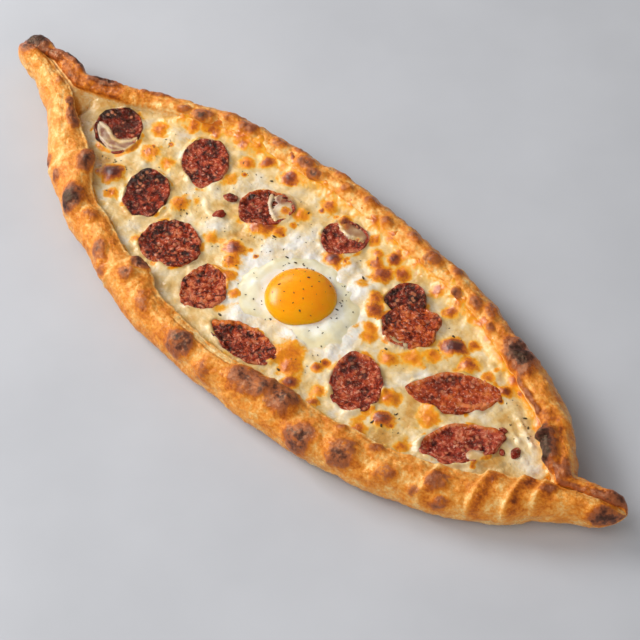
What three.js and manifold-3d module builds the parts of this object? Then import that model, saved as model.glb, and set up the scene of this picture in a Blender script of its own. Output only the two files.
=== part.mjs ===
// A boat-shaped pide: a folded bread crust, melted cheese, slices of sausage and one egg.
// Millimetres. +X runs along the bread, +Z is up, and the origin is under the middle of the base.
import * as THREE from 'three';
import { mergeVertices } from 'three/addons/utils/BufferGeometryUtils.js';
import Module from 'manifold-3d';

const wasm = await Module();
wasm.setup();

// Driving dimensions
const LENGTH = 450;
const WIDTH = 150;
const RIM_HEIGHT = 21.5;
const FLOOR_THICKNESS = 5;
const CHEESE_LEVEL = 15.5;
const YOLK_RADIUS = 18.8;
const SLICE_THICKNESS = 4.4;
const GAP = 0.35;

const HALF_LENGTH = LENGTH / 2;
const HALF_WIDTH = WIDTH / 2;
const NEAR = -1;
const FAR = 1;

// Each end: where the boat closes and how blunt it is; how far the middle line bends sideways, by where, and
// how suddenly; how far the seam of the two folds lies off the middle; the tip's half widths on both sides,
// the height of its middle, how far its underside lifts and its crest rises, and how far the cheese slumps
const LEFT_END = {
  reach: 190, fullness: 0.75, bend: 9.5, bendReach: 200, bendPower: 6.5, seamShift: 2,
  tipHalf: { [NEAR]: 12, [FAR]: 13 }, middle: 16, lift: 9, rise: 2.5, slump: 3,
};
const RIGHT_END = {
  reach: 194, fullness: 0.47, bend: 20, bendReach: 225, bendPower: 5.4, seamShift: -3,
  tipHalf: { [NEAR]: 15.5, [FAR]: 11 }, middle: 13, lift: 4, rise: 0.5, slump: 1,
};
const END_RISE_START = 110;

// Where the middle line sways to one side, and where one side of the outline bulges
const SWAYS = [
  { x: -105, reach: 45, size: 2.2 },
  { x: 178, reach: 18, size: -3 },
];
const BULGES = [
  { side: NEAR, x: 92, reach: 16, size: 1.8 },
  { side: NEAR, x: 193, reach: 12, size: 5 },
  { side: FAR, x: -188, reach: 8, size: 3 },
  { side: FAR, x: -155, reach: 20, size: -2 },
  { side: FAR, x: 203, reach: 10, size: 2 },
];

// Slow waves of the hand-shaped outline and crest, which are still round the widest place and at the tips
const RIPPLES = [
  { length: 82, height: 0.7, phase: 2 },
  { length: 38, height: 0.5, phase: -1 },
];
const RIPPLE_SPAN = { start: 15, full: 45, fade: 180, end: 200 };
const CREST_RIPPLE = { share: 0.8, shift: 20 };

// The pinched tips
const TIP_START = 185;
const TIP_ROUND_START = 210;
const TIP_TAPER = 0.72;
const TIP_BLEND = 3;
const LIFT_START = 176;
const SEAM_GAP = 1.4;
const SEAM_DEPTH = 3;
const SEAM_START = 150;
const SEAM_BLEND = 2;

// The folded rim: its width from the outer edge to the lip, and where it swells
const RIM_WIDTH = { [NEAR]: 16.5, [FAR]: 15 };
const RIM_STEPS = [
  { side: NEAR, from: 22, to: 48, extra: 4.5 },
  { side: NEAR, from: 140, to: 170, extra: 3 },
  { side: FAR, from: 90, to: 140, extra: 3 },
];
const RIM_SWELLS = [
  { side: NEAR, x: -142, reach: 22, size: 8 },
  { side: NEAR, x: -48, reach: 8, size: 3.5 },
];

// The rim's section: how far in it meets the ground, where it is widest and highest, the turns of its lower
// and upper round, and the rounding of its lip as shares of the rim's width and of the lip's drop
const HEEL_INSET = 12;
const HEEL_SHARE = 0.62;
const BELLY_SHARE = 0.42;
const CREST_SHARE = 0.55;
const LOWER_TURNS = [60, 30, 0];
const UPPER_TURNS = [24, 46, 68, 90];
const LIP_DROP = 3;
const LIP_ROUND = [[0.78, 0.15], [0.95, 0.45], [1, 1]];
const BAND_LENGTH = 46;

// The hollow for the filling: how far its walls run in, at what half width it is fully deep,
// how far below the cheese's level its edge lies, and the height of a closed seam's floor to its edge
const WALL_RUN = 3;
const WALL_SHARE = 0.4;
const EDGE_SHARE = 0.35;
const HOLLOW_DEEP = { from: 1, to: 12 };
const EDGE_DIP = 0.8;
const SEAM_STEP = 0.7;

// Blisters on the rim: place along the bread, share of the way round the rim from heel to lip, radius
const BLISTERS = [
  { side: NEAR, x: -121, around: 0.58, radius: 7 },
  { side: NEAR, x: -135, around: 0.85, radius: 5 },
  { side: NEAR, x: -79, around: 0.56, radius: 5 },
  { side: NEAR, x: -56, around: 0.9, radius: 5 },
  { side: NEAR, x: -7, around: 0.6, radius: 7 },
  { side: NEAR, x: 17, around: 0.5, radius: 5 },
  { side: NEAR, x: 36, around: 0.84, radius: 7 },
  { side: NEAR, x: 51, around: 0.8, radius: 7 },
  { side: NEAR, x: 78, around: 0.54, radius: 7 },
  { side: NEAR, x: 102, around: 0.6, radius: 7 },
  { side: NEAR, x: 128, around: 0.54, radius: 5 },
  { side: NEAR, x: 150, around: 0.68, radius: 7 },
  { side: NEAR, x: 166, around: 0.5, radius: 6 },
  { side: FAR, x: -112, around: 0.9, radius: 6 },
  { side: FAR, x: -88, around: 0.75, radius: 6 },
  { side: FAR, x: -45, around: 0.8, radius: 7 },
  { side: FAR, x: 48, around: 0.8, radius: 6 },
  { side: FAR, x: 120, around: 0.78, radius: 10 },
  { side: FAR, x: 172, around: 0.9, radius: 9 },
];
const BLISTER_RISE = 0.2;

// Where sections of the bread are taken
const BODY_REACH = 184;
const BODY_STEP = 8;
const PLEAT_STEP = 4;
const TIP_STATIONS = [189, 195, 201, 207, 213, 218, 221.5, 223.8];

// Pleats where the near rim is gathered towards the right tip
const PLEATS = { from: 138, full: 158, fade: 186, to: 196, spacing: 13, slant: 9, depth: 1.1 };

// The sausage slices: place, long and short diameter, and how the long one is turned from +X, in degrees;
// lean lifts its far side, also in degrees, lift raises it whole, and taper sharpens its two ends
const SLICES = [
  { x: -140, y: 7, long: 34, wide: 27, turn: 136, lean: 4 },
  { x: -89, y: 25, long: 34, wide: 26, turn: 136, lean: 5 },
  { x: -94, y: -13, long: 34, wide: 25, turn: 124, lean: 4 },
  { x: -59, y: -27, long: 34, wide: 31, turn: 30, lean: 2 },
  { x: -42, y: 26, long: 31, wide: 26, turn: 50, lean: 0 },
  { x: 2, y: 42, long: 26, wide: 24, turn: 46, lean: 0 },
  { x: -24, y: -35, long: 30, wide: 25, turn: 120, lean: 2 },
  { x: 18, y: -44, long: 38, wide: 21, turn: 6, lean: 0 },
  { x: 69, y: 25, long: 30, wide: 27, turn: 46, lean: 2 },
  { x: 76, y: -21, long: 39, wide: 28, turn: 132, lean: 5 },
  { x: 114, y: 10, long: 50, wide: 26, turn: 40, lean: 3, taper: 0.8 },
  { x: 139, y: -10, long: 46, wide: 25, turn: 54, lean: 2, taper: 0.5 },
  { x: 55, y: 38, long: 19, wide: 17, turn: 46, lean: 14, lift: 1.6 },
];
const SLICE_SINK = 0.3;
const SLICE_CUP = 0.7;
const SLICE_SIDES = 20;
const TAPER_DEPTH = 0.22;
const SLICE_WAVES = [{ count: 3, size: 0.03 }, { count: 5, size: 0.02 }];

// Crumbs of sausage that lie in the cheese
const CRUMBS = [
  { x: -61, y: 18, radius: 3.4 },
  { x: -56, y: 5, radius: 3.2 },
  { x: 162, y: 7, radius: 3 },
];
const CRUMB_FORM = [1.15, 0.8, 0.6];
const CRUMB_RISE = 0.1;

// Browned bubbles that stand up in the cheese
const BUBBLES = [
  { x: -118, y: -16, radius: 7 },
  { x: -125, y: 24, radius: 5 },
  { x: -76, y: -4, radius: 5 },
  { x: -33, y: -4, radius: 6 },
  { x: -72, y: 41, radius: 5 },
  { x: -50, y: 49, radius: 6 },
  { x: -25, y: 36, radius: 6 },
  { x: 33, y: 42, radius: 8 },
  { x: 48, y: 16, radius: 5 },
  { x: 94, y: 32, radius: 8 },
  { x: 107, y: 29, radius: 6 },
  { x: 40, y: -32, radius: 7 },
  { x: 102, y: -26, radius: 6 },
  { x: 117, y: -10, radius: 5 },
];
const BUBBLE_RISE = 0.16;
const CHEESE_WAVE = { height: 0.45, along: 44, across: 50, alongBend: 0.5, acrossBend: 0.6 };
const CHEESE_STILL = 0.7;
const CHEESE_STEPS = 12;
const CHEESE_LEAST_ROOM = 4;

// The egg
const EGG = { x: 16, y: -3 };
const WHITE_RADIUS = 32;
const WHITE_LOBES = [
  { count: 2, size: 5, phase: -20 },
  { count: 3, size: 3, phase: 40 },
];
const WHITE_DEPTH = 3;
const WHITE_EDGE_DEPTH = 1.2;
const WHITE_RISE = 2.6;
const WHITE_FLAT = 0.5;
const WHITE_SHOULDER = 0.8;
const WHITE_SHOULDER_RISE = 1.7;
const WHITE_SIDES = 40;
const YOLK_BASE = 1.2;
const YOLK_RISE = 9;
const YOLK_SINK = 1;
const YOLK_UNDERCUT = 25;
const YOLK_SIDES = 28;
const POCKET_HEADROOM = 5;

// Flecks of pepper: half their length, width and depth, the shares that their length varies by,
// their numbers, where they lie on the cheese, and how far they keep from other things
const FLECK_HALF = { length: 1.3, width: 0.78, depth: 1.1 };
const FLECK_VARIES = { least: 0.7, most: 1.1 };
const FLECKS = { cheese: 22, white: 12, yolk: 9 };
const FLECK_SPAN = { from: -150, to: 165, across: 0.8 };
const FLECK_MARGIN = 3;
const GOLDEN_TURN = 2.4;

const mix = THREE.MathUtils.lerp;
const clamp = THREE.MathUtils.clamp;
const smooth = THREE.MathUtils.smoothstep;
const radians = THREE.MathUtils.degToRad;
const bell = (distance, reach) => Math.exp(-((distance / reach) ** 2));
const softMax = (a, b, blend) => (a + b + Math.hypot(a - b, blend)) / 2;
const swell = (places, x) => places.reduce((sum, item) => sum + item.size * bell(x - item.x, item.reach), 0);
const endAt = (x) => (x < 0 ? LEFT_END : RIGHT_END);

// A repeatable number from 0 to 1 for the given whole number
function chance(index) {
  const value = Math.sin(index * 12.9898 + 4.1414) * 43758.5453;
  return value - Math.floor(value);
}

// The middle line of the bread, bent towards its tips
function spine(x) {
  const { bend, bendReach, bendPower } = endAt(x);
  return bend * Math.min(1, Math.abs(x) / bendReach) ** bendPower + swell(SWAYS, x);
}

function ripple(x, side) {
  const { start, full, fade, end } = RIPPLE_SPAN;
  const strength = smooth(Math.abs(x), start, full) * (1 - smooth(Math.abs(x), fade, end));
  const wave = ({ length, height, phase }) => height * Math.sin((2 * Math.PI * x) / length + phase * side);
  return strength * RIPPLES.reduce((sum, item) => sum + wave(item), 0);
}

function halfWidth(x, side) {
  const { reach, fullness, tipHalf } = endAt(x);
  const body = HALF_WIDTH * Math.max(0, 1 - (x / reach) ** 2) ** fullness;
  const tip = tipHalf[side] * mix(1, TIP_TAPER, smooth(Math.abs(x), TIP_START, TIP_ROUND_START));
  const bulge = swell(BULGES.filter((item) => item.side === side), x);
  return Math.min(HALF_WIDTH, softMax(body, tip, TIP_BLEND) + ripple(x, side) + bulge);
}

function rimWidth(x, side) {
  let width = RIM_WIDTH[side];
  for (const step of RIM_STEPS.filter((item) => item.side === side)) {
    width += step.extra * smooth(x, step.from, step.to);
  }
  return width + swell(RIM_SWELLS.filter((item) => item.side === side), x);
}

function seamLine(x) {
  const closing = smooth(Math.abs(x), SEAM_START, TIP_START);
  const ending = smooth(Math.abs(x), TIP_START, HALF_LENGTH);
  return spine(x) + endAt(x).seamShift * closing * (1 - ending);
}

// The free edge of the folded dough, which meets the other side's edge at the tips
function lipLine(x, side) {
  const seam = seamLine(x);
  const open = side * (spine(x) - seam) + halfWidth(x, side) - rimWidth(x, side);
  return seam + side * softMax(open, SEAM_GAP / 2, SEAM_BLEND);
}

const hollowRoom = (x) => (lipLine(x, FAR) - lipLine(x, NEAR)) / 2;
const baseHeight = (x) => endAt(x).lift * smooth(Math.abs(x), LIFT_START, HALF_LENGTH);

const towardsEnd = (x) => smooth(Math.abs(x), END_RISE_START, TIP_START);
const cheeseLevel = (x) => CHEESE_LEVEL - endAt(x).slump * towardsEnd(x);

function crestHeight(x, side) {
  const uneven = CREST_RIPPLE.share * ripple(x + CREST_RIPPLE.shift, side);
  return RIM_HEIGHT + endAt(x).rise * towardsEnd(x) + uneven;
}

// How far a blister or pleat pushes the rim's surface out
function rimRelief(x, side, around) {
  let rise = 0;
  for (const blister of BLISTERS.filter((item) => item.side === side)) {
    const away = Math.hypot(x - blister.x, (around - blister.around) * BAND_LENGTH);
    rise += BLISTER_RISE * blister.radius * bell(away, blister.radius);
  }
  if (side === NEAR) {
    const gathered = smooth(x, PLEATS.from, PLEATS.full) * (1 - smooth(x, PLEATS.fade, PLEATS.to));
    const turn = (2 * Math.PI * (x + PLEATS.slant * around)) / PLEATS.spacing;
    rise += PLEATS.depth * gathered * Math.sin(Math.PI * around) * Math.sin(turn);
  }
  return rise;
}

// One side of the crust's section, from under the bread, round the rim, to the floor inside it
function crustSide(x, side) {
  const outer = spine(x) + side * halfWidth(x, side);
  const lip = lipLine(x, side);
  const roll = Math.abs(outer - lip);
  const base = baseHeight(x);
  const top = crestHeight(x, side);
  const belly = mix(base, top, BELLY_SHARE);
  const heel = outer - side * Math.min(HEEL_INSET, HEEL_SHARE * Math.abs(outer - spine(x)));
  const crest = outer - side * CREST_SHARE * roll;
  const room = hollowRoom(x);
  const run = Math.min(WALL_RUN, WALL_SHARE * room);
  const open = smooth(room, HOLLOW_DEEP.from, HOLLOW_DEEP.to);
  const floor = mix(top - SEAM_DEPTH - LIP_DROP / 2, base + FLOOR_THICKNESS, open);
  const edge = mix(floor + SEAM_STEP, cheeseLevel(x) - EDGE_DIP, open);

  const under = [[mix(spine(x), heel, 0.5), base], [heel, base]];
  const band = [];
  for (const angle of LOWER_TURNS) {
    const turn = radians(angle);
    band.push([mix(heel, outer, Math.cos(turn)), mix(belly, base, Math.sin(turn))]);
  }
  for (const angle of UPPER_TURNS) {
    const turn = radians(angle);
    band.push([mix(crest, outer, Math.cos(turn)), mix(belly, top, Math.sin(turn))]);
  }
  for (const [inward, drop] of LIP_ROUND) {
    band.push([outer - side * inward * roll, top - drop * LIP_DROP]);
  }
  const rollMiddle = [outer - (side * roll) / 2, belly];
  const raised = band.map(([y, z], index) => {
    const rise = rimRelief(x, side, (index + 1) / band.length);
    const reach = Math.hypot(y - rollMiddle[0], z - rollMiddle[1]);
    const out = y + ((y - rollMiddle[0]) / reach) * rise;
    return [clamp(out, -HALF_WIDTH, HALF_WIDTH), z + ((z - rollMiddle[1]) / reach) * rise];
  });
  const wall = [[lip - side * EDGE_SHARE * run, edge], [lip - side * run, floor]];
  return { rim: [...under, ...raised], wall, floor };
}

// Shrinks a section's points towards the middle of the tip over its rounded end
function roundTip(x, points) {
  const past = clamp((Math.abs(x) - TIP_ROUND_START) / (HALF_LENGTH - TIP_ROUND_START), 0, 1);
  const scale = Math.sqrt(1 - past * past);
  const { middle } = endAt(x);
  return points.map(([y, z]) => new THREE.Vector3(x, mix(spine(x), y, scale), mix(middle, z, scale)));
}

// The places along the bread where sections are taken, closer together at the gathered ends
function stations() {
  const places = [];
  for (let x = -BODY_REACH; x <= BODY_REACH; x += x < PLEATS.from ? BODY_STEP : PLEAT_STEP) {
    places.push(x);
  }
  for (const x of TIP_STATIONS) {
    places.push(x, -x);
  }
  return places.sort((a, b) => a - b);
}

// A closed solid through rings of equal length, each end shut by a fan to one point;
// crossed splits the faces along their other diagonal, as the surface that the solid lies against is split
function loft(rings, firstPoint, lastPoint, crossed = false) {
  const count = rings[0].length;
  const points = [...rings.flat(), firstPoint, lastPoint];
  const first = points.length - 2;
  const last = points.length - 1;
  const faces = [];
  for (let ring = 0; ring + 1 < rings.length; ring += 1) {
    for (let place = 0; place < count; place += 1) {
      const a = ring * count + place;
      const b = ring * count + ((place + 1) % count);
      if (crossed) {
        faces.push(a, b, a + count, b, b + count, a + count);
      } else {
        faces.push(a, b, b + count, a, b + count, a + count);
      }
    }
  }
  for (let place = 0; place < count; place += 1) {
    const next = (place + 1) % count;
    const start = (rings.length - 1) * count;
    faces.push(next, place, first, start + place, start + next, last);
  }
  const geometry = new THREE.BufferGeometry().setFromPoints(points);
  geometry.setIndex(faces);
  return geometry;
}

const middleOf = (points) => points
  .reduce((sum, point) => sum.add(point), new THREE.Vector3())
  .divideScalar(points.length);

function crustGeometry() {
  const rings = stations().map((x) => {
    const far = crustSide(x, FAR);
    const near = crustSide(x, NEAR);
    const floor = [(far.wall[1][0] + near.wall[1][0]) / 2, (far.floor + near.floor) / 2];
    const under = [spine(x), baseHeight(x)];
    const around = [under, ...far.rim, ...far.wall, floor, ...near.wall.reverse(), ...near.rim.reverse()];
    return roundTip(x, around);
  });
  const tip = (x) => new THREE.Vector3(x, spine(x), endAt(x).middle);
  return loft(rings, tip(-HALF_LENGTH), tip(HALF_LENGTH));
}

// The height of the melted cheese, uneven and with browned bubbles
function cheeseTop(x, y) {
  const across = (y - (lipLine(x, FAR) + lipLine(x, NEAR)) / 2) / hollowRoom(x);
  const inside = 1 - smooth(Math.abs(across), CHEESE_STILL, 1);
  const alongTurn = (2 * Math.PI * x) / CHEESE_WAVE.along;
  const acrossTurn = (2 * Math.PI * y) / CHEESE_WAVE.across;
  const bentAlong = alongTurn + CHEESE_WAVE.acrossBend * Math.sin(acrossTurn);
  const bentAcross = acrossTurn + CHEESE_WAVE.alongBend * Math.sin(alongTurn);
  let raised = CHEESE_WAVE.height * Math.sin(bentAlong) * Math.cos(bentAcross);
  for (const bubble of BUBBLES) {
    raised += BUBBLE_RISE * bubble.radius * bell(Math.hypot(x - bubble.x, y - bubble.y), bubble.radius);
  }
  return cheeseLevel(x) - EDGE_DIP * Math.min(1, across ** 4) + inside * raised;
}

function cheeseGeometry() {
  const rings = stations().filter((x) => hollowRoom(x) > CHEESE_LEAST_ROOM).map((x) => {
    const [farEdge, farFloor] = crustSide(x, FAR).wall;
    const [nearEdge, nearFloor] = crustSide(x, NEAR).wall;
    const floor = (farFloor[1] + nearFloor[1]) / 2;
    const ring = [
      [(farFloor[0] + nearFloor[0]) / 2, floor + GAP],
      [farFloor[0] - GAP, farFloor[1] + GAP],
      [farEdge[0] - GAP, farEdge[1]],
    ];
    for (let step = 1; step < CHEESE_STEPS; step += 1) {
      const y = mix(farEdge[0] - GAP, nearEdge[0] + GAP, step / CHEESE_STEPS);
      ring.push([y, cheeseTop(x, y)]);
    }
    ring.push([nearEdge[0] + GAP, nearEdge[1]], [nearFloor[0] + GAP, nearFloor[1] + GAP]);
    return ring.map(([y, z]) => new THREE.Vector3(x, y, z));
  });
  return loft(rings, middleOf(rings[0]), middleOf(rings.at(-1)), true);
}

// A slice grown by a clearance, with extra height above it, in its place on the cheese
function sliceGeometry(slice, clearance = 0, headroom = 0) {
  const half = SLICE_THICKNESS / 2;
  const top = half + clearance + headroom;
  const bottom = -half - clearance;
  const profile = [
    [0, bottom],
    [0.85, bottom],
    [1, mix(bottom, half, 0.3)],
    [1, top - 1.1],
    [0.93, top],
    [0.5, top - SLICE_CUP],
    [0, top - SLICE_CUP],
  ];
  const outline = profile.map(([reach, z]) => new THREE.Vector2(reach, z));
  const geometry = new THREE.LatheGeometry(outline, SLICE_SIDES);
  geometry.rotateX(Math.PI / 2);
  const place = geometry.getAttribute('position');
  for (let index = 0; index < place.count; index += 1) {
    const across = new THREE.Vector2(place.getX(index), place.getY(index));
    const angle = across.angle();
    const sharp = 1 - (slice.taper ?? 0) * TAPER_DEPTH * Math.sin(2 * angle) ** 2;
    const wave = ({ count, size }) => size * Math.sin(count * angle + slice.x);
    const uneven = sharp * SLICE_WAVES.reduce((sum, item) => sum + wave(item), 1);
    const long = across.x * (slice.long / 2 + clearance) * uneven;
    const wide = across.y * (slice.wide / 2 + clearance) * uneven;
    place.setXY(index, long, wide);
  }
  geometry.rotateZ(radians(slice.turn));
  geometry.rotateX(radians(slice.lean));
  const height = cheeseLevel(slice.x) - SLICE_SINK + (slice.lift ?? 0);
  return geometry.translate(slice.x, slice.y, height);
}

// The lobed outline of the egg white
function whiteReach(angle) {
  let reach = WHITE_RADIUS;
  for (const lobe of WHITE_LOBES) {
    reach += lobe.size * Math.cos(lobe.count * angle + radians(lobe.phase));
  }
  return reach;
}

// The egg white grown by a clearance, with extra height above it
function whiteGeometry(clearance = 0, headroom = 0) {
  const lower = [
    [0, -WHITE_DEPTH],
    [WHITE_SHOULDER, -WHITE_DEPTH],
    [1, -WHITE_EDGE_DEPTH],
  ];
  const upper = [
    [1, 0.2],
    [0.95, 1],
    [WHITE_SHOULDER, WHITE_SHOULDER_RISE],
    [WHITE_FLAT, WHITE_RISE],
    [0, WHITE_RISE],
  ];
  const outline = [
    ...lower.map(([reach, z]) => new THREE.Vector2(reach, z - clearance)),
    ...upper.map(([reach, z]) => new THREE.Vector2(reach, z + headroom)),
  ];
  const geometry = new THREE.LatheGeometry(outline, WHITE_SIDES);
  geometry.rotateX(Math.PI / 2);
  const place = geometry.getAttribute('position');
  for (let index = 0; index < place.count; index += 1) {
    const angle = Math.atan2(place.getY(index), place.getX(index));
    const reach = whiteReach(angle) + clearance;
    place.setXY(index, place.getX(index) * reach, place.getY(index) * reach);
  }
  return geometry.translate(EGG.x, EGG.y, CHEESE_LEVEL);
}

function yolkGeometry(clearance = 0) {
  const profile = [new THREE.Vector2(0, -YOLK_SINK - clearance)];
  const undercut = (YOLK_RADIUS + clearance) * Math.cos(radians(YOLK_UNDERCUT));
  profile.push(new THREE.Vector2(undercut, -YOLK_SINK - clearance));
  for (let angle = 0; angle < 90; angle += 15) {
    const reach = (YOLK_RADIUS + clearance) * Math.cos(radians(angle));
    profile.push(new THREE.Vector2(reach, (YOLK_RISE + clearance) * Math.sin(radians(angle))));
  }
  profile.push(new THREE.Vector2(0, YOLK_RISE + clearance));
  const geometry = new THREE.LatheGeometry(profile, YOLK_SIDES);
  geometry.rotateX(Math.PI / 2);
  return geometry.translate(EGG.x, EGG.y, CHEESE_LEVEL + YOLK_BASE);
}

function fleckGeometry(x, y, z, index) {
  const geometry = new THREE.OctahedronGeometry(1);
  const length = FLECK_HALF.length * mix(FLECK_VARIES.least, FLECK_VARIES.most, chance(index));
  geometry.scale(length, FLECK_HALF.width, FLECK_HALF.depth);
  geometry.rotateZ(Math.PI * chance(index + 500));
  return geometry.translate(x, y, z);
}

function crumbGeometry({ x, y, radius }) {
  const geometry = new THREE.IcosahedronGeometry(radius);
  geometry.scale(...CRUMB_FORM);
  return geometry.translate(x, y, cheeseTop(x, y) + CRUMB_RISE * radius);
}

function toSolid(geometry) {
  const bare = geometry.clone();
  bare.deleteAttribute('normal');
  bare.deleteAttribute('uv');
  const merged = mergeVertices(bare, 1e-4);
  return new wasm.Manifold(new wasm.Mesh({
    numProp: 3,
    vertProperties: new Float32Array(merged.getAttribute('position').array),
    triVerts: new Uint32Array(merged.index.array),
  }));
}

function toGeometry(solid) {
  const mesh = solid.getMesh();
  const geometry = new THREE.BufferGeometry();
  geometry.setAttribute('position', new THREE.BufferAttribute(mesh.vertProperties, 3));
  geometry.setIndex(new THREE.BufferAttribute(mesh.triVerts, 1));
  return geometry;
}

const cutAll = (solid, tools) => tools.reduce((rest, tool) => rest.subtract(toSolid(tool)), solid);
const joinAll = (solid, pieces) => pieces.reduce((whole, piece) => whole.add(toSolid(piece)), solid);

// True where a fleck on the cheese would lie clear of the slices, the egg and the crumbs
function clearOfToppings(x, y) {
  const farFrom = (item, reach) => Math.hypot(x - item.x, y - item.y) > reach + FLECK_MARGIN;
  const offEgg = farFrom(EGG, whiteReach(Math.atan2(y - EGG.y, x - EGG.x)));
  const offSlices = SLICES.every((slice) => farFrom(slice, slice.long / 2));
  const offCrumbs = CRUMBS.every((crumb) => farFrom(crumb, crumb.radius));
  return offEgg && offSlices && offCrumbs;
}

function cheeseFlecks() {
  const flecks = [];
  for (let index = 0; flecks.length < FLECKS.cheese; index += 1) {
    const x = mix(FLECK_SPAN.from, FLECK_SPAN.to, chance(index));
    const y = FLECK_SPAN.across * mix(lipLine(x, NEAR), lipLine(x, FAR), chance(index + 1000));
    if (clearOfToppings(x, y)) {
      flecks.push(fleckGeometry(x, y, cheeseTop(x, y), index));
    }
  }
  return flecks;
}

function whiteFlecks() {
  const flecks = [];
  for (let index = 0; index < FLECKS.white; index += 1) {
    const angle = (2 * Math.PI * (index + 0.5 * chance(index + 2000))) / FLECKS.white;
    const reach = mix(YOLK_RADIUS + FLECK_MARGIN, WHITE_SHOULDER * whiteReach(angle), chance(index + 3000));
    const slope = clamp((reach / whiteReach(angle) - WHITE_FLAT) / (WHITE_SHOULDER - WHITE_FLAT), 0, 1);
    const z = CHEESE_LEVEL + mix(WHITE_RISE, WHITE_SHOULDER_RISE, slope);
    flecks.push(fleckGeometry(EGG.x + reach * Math.cos(angle), EGG.y + reach * Math.sin(angle), z, index));
  }
  return flecks;
}

function yolkFlecks() {
  const flecks = [];
  for (let index = 0; index < FLECKS.yolk; index += 1) {
    const angle = GOLDEN_TURN * index;
    const share = FLECK_SPAN.across * Math.sqrt((index + 0.5) / FLECKS.yolk);
    const reach = share * YOLK_RADIUS;
    const z = CHEESE_LEVEL + YOLK_BASE + YOLK_RISE * Math.sqrt(1 - share * share);
    flecks.push(fleckGeometry(EGG.x + reach * Math.cos(angle), EGG.y + reach * Math.sin(angle), z, index));
  }
  return flecks;
}

function cheeseSolid() {
  const slicePockets = SLICES.map((slice) => sliceGeometry(slice, GAP, POCKET_HEADROOM));
  const cut = cutAll(toSolid(cheeseGeometry()), [...slicePockets, whiteGeometry(GAP, POCKET_HEADROOM)]);
  return joinAll(cut, [...CRUMBS.map(crumbGeometry), ...cheeseFlecks()]);
}

const whiteSolid = () => joinAll(cutAll(toSolid(whiteGeometry()), [yolkGeometry(GAP)]), whiteFlecks());
const yolkSolid = () => joinAll(toSolid(yolkGeometry()), yolkFlecks());

// A slice that leans on an earlier one is cut clear of it
function sliceSolid(slice, index) {
  const earlier = SLICES.slice(0, index);
  return cutAll(toSolid(sliceGeometry(slice)), earlier.map((other) => sliceGeometry(other, GAP)));
}

const crustFinish = { color: 0xd18b45, roughness: 0.6, metalness: 0 };
const cheeseFinish = { color: 0xe8d49a, roughness: 0.4, metalness: 0 };
const whiteFinish = { color: 0xece4cc, roughness: 0.25, metalness: 0 };
const yolkFinish = { color: 0xf0960a, roughness: 0.2, metalness: 0 };
const sausageFinish = { color: 0x8a3a26, roughness: 0.35, metalness: 0 };

const pide = new THREE.Group();

function addPiece(name, geometry, finish) {
  const mesh = new THREE.Mesh(geometry, new THREE.MeshStandardMaterial(finish));
  mesh.name = name;
  pide.add(mesh);
}

addPiece('crust', crustGeometry(), crustFinish);
addPiece('cheese', toGeometry(cheeseSolid()), cheeseFinish);
addPiece('egg_white', toGeometry(whiteSolid()), whiteFinish);
addPiece('egg_yolk', toGeometry(yolkSolid()), yolkFinish);
SLICES.forEach((slice, index) => {
  const name = `sausage_${String(index + 1).padStart(2, '0')}`;
  addPiece(name, toGeometry(sliceSolid(slice, index)), sausageFinish);
});

export default pide;
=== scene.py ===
import math
from collections import namedtuple

import bpy
import numpy as np
from mathutils import Matrix, Vector


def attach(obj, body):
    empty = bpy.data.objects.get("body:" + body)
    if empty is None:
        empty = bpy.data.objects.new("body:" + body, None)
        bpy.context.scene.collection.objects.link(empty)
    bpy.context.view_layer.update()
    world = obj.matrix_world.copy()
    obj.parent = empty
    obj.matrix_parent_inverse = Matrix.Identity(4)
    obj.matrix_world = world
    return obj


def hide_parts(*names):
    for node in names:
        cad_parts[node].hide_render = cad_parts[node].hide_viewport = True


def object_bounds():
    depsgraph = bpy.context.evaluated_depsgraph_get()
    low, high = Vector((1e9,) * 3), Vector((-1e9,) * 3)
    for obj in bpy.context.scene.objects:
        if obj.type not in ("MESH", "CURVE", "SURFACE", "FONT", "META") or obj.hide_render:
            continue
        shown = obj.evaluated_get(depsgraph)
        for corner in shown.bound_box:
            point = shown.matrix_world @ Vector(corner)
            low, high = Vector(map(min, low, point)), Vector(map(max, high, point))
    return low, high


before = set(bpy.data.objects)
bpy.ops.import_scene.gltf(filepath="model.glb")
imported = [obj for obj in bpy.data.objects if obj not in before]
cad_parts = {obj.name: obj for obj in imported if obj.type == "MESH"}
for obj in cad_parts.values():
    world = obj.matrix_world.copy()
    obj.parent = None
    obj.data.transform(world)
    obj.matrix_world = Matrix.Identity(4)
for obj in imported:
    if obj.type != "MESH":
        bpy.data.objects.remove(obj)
cad_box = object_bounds()

# The frame is in metres; every size and place below is in millimetres
MM = 0.001
HALF_LENGTH = (cad_box[1].x - cad_box[0].x) / 2 / MM
HALF_WIDTH = (cad_box[1].y - cad_box[0].y) / 2 / MM
NEAR, FAR = -1, 1

# The form of the bread, as the solids have it
RIM_HEIGHT = 21.5
FLOOR_THICKNESS = 5
CHEESE_LEVEL = 15.5
LEFT_END = {
    "reach": 190, "fullness": 0.75, "bend": 9.5, "bend_reach": 200, "bend_power": 6.5, "seam_shift": 2,
    NEAR: 12, FAR: 13, "middle": 16, "lift": 9, "rise": 2.5, "slump": 3,
}
RIGHT_END = {
    "reach": 194, "fullness": 0.47, "bend": 20, "bend_reach": 225, "bend_power": 5.4, "seam_shift": -3,
    NEAR: 15.5, FAR: 11, "middle": 13, "lift": 4, "rise": 0.5, "slump": 1,
}
END_RISE_START = 110
SWAYS = [(-105, 45, 2.2), (178, 18, -3)]
BULGES = {
    NEAR: [(92, 16, 1.8), (193, 12, 5)],
    FAR: [(-188, 8, 3), (-155, 20, -2), (203, 10, 2)],
}
RIPPLES = [(82, 0.7, 2), (38, 0.5, -1)]
RIPPLE_START = (15, 45)
RIPPLE_END = (180, 200)
CREST_RIPPLE = {"share": 0.8, "shift": 20}
TIP_START = 185
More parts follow.
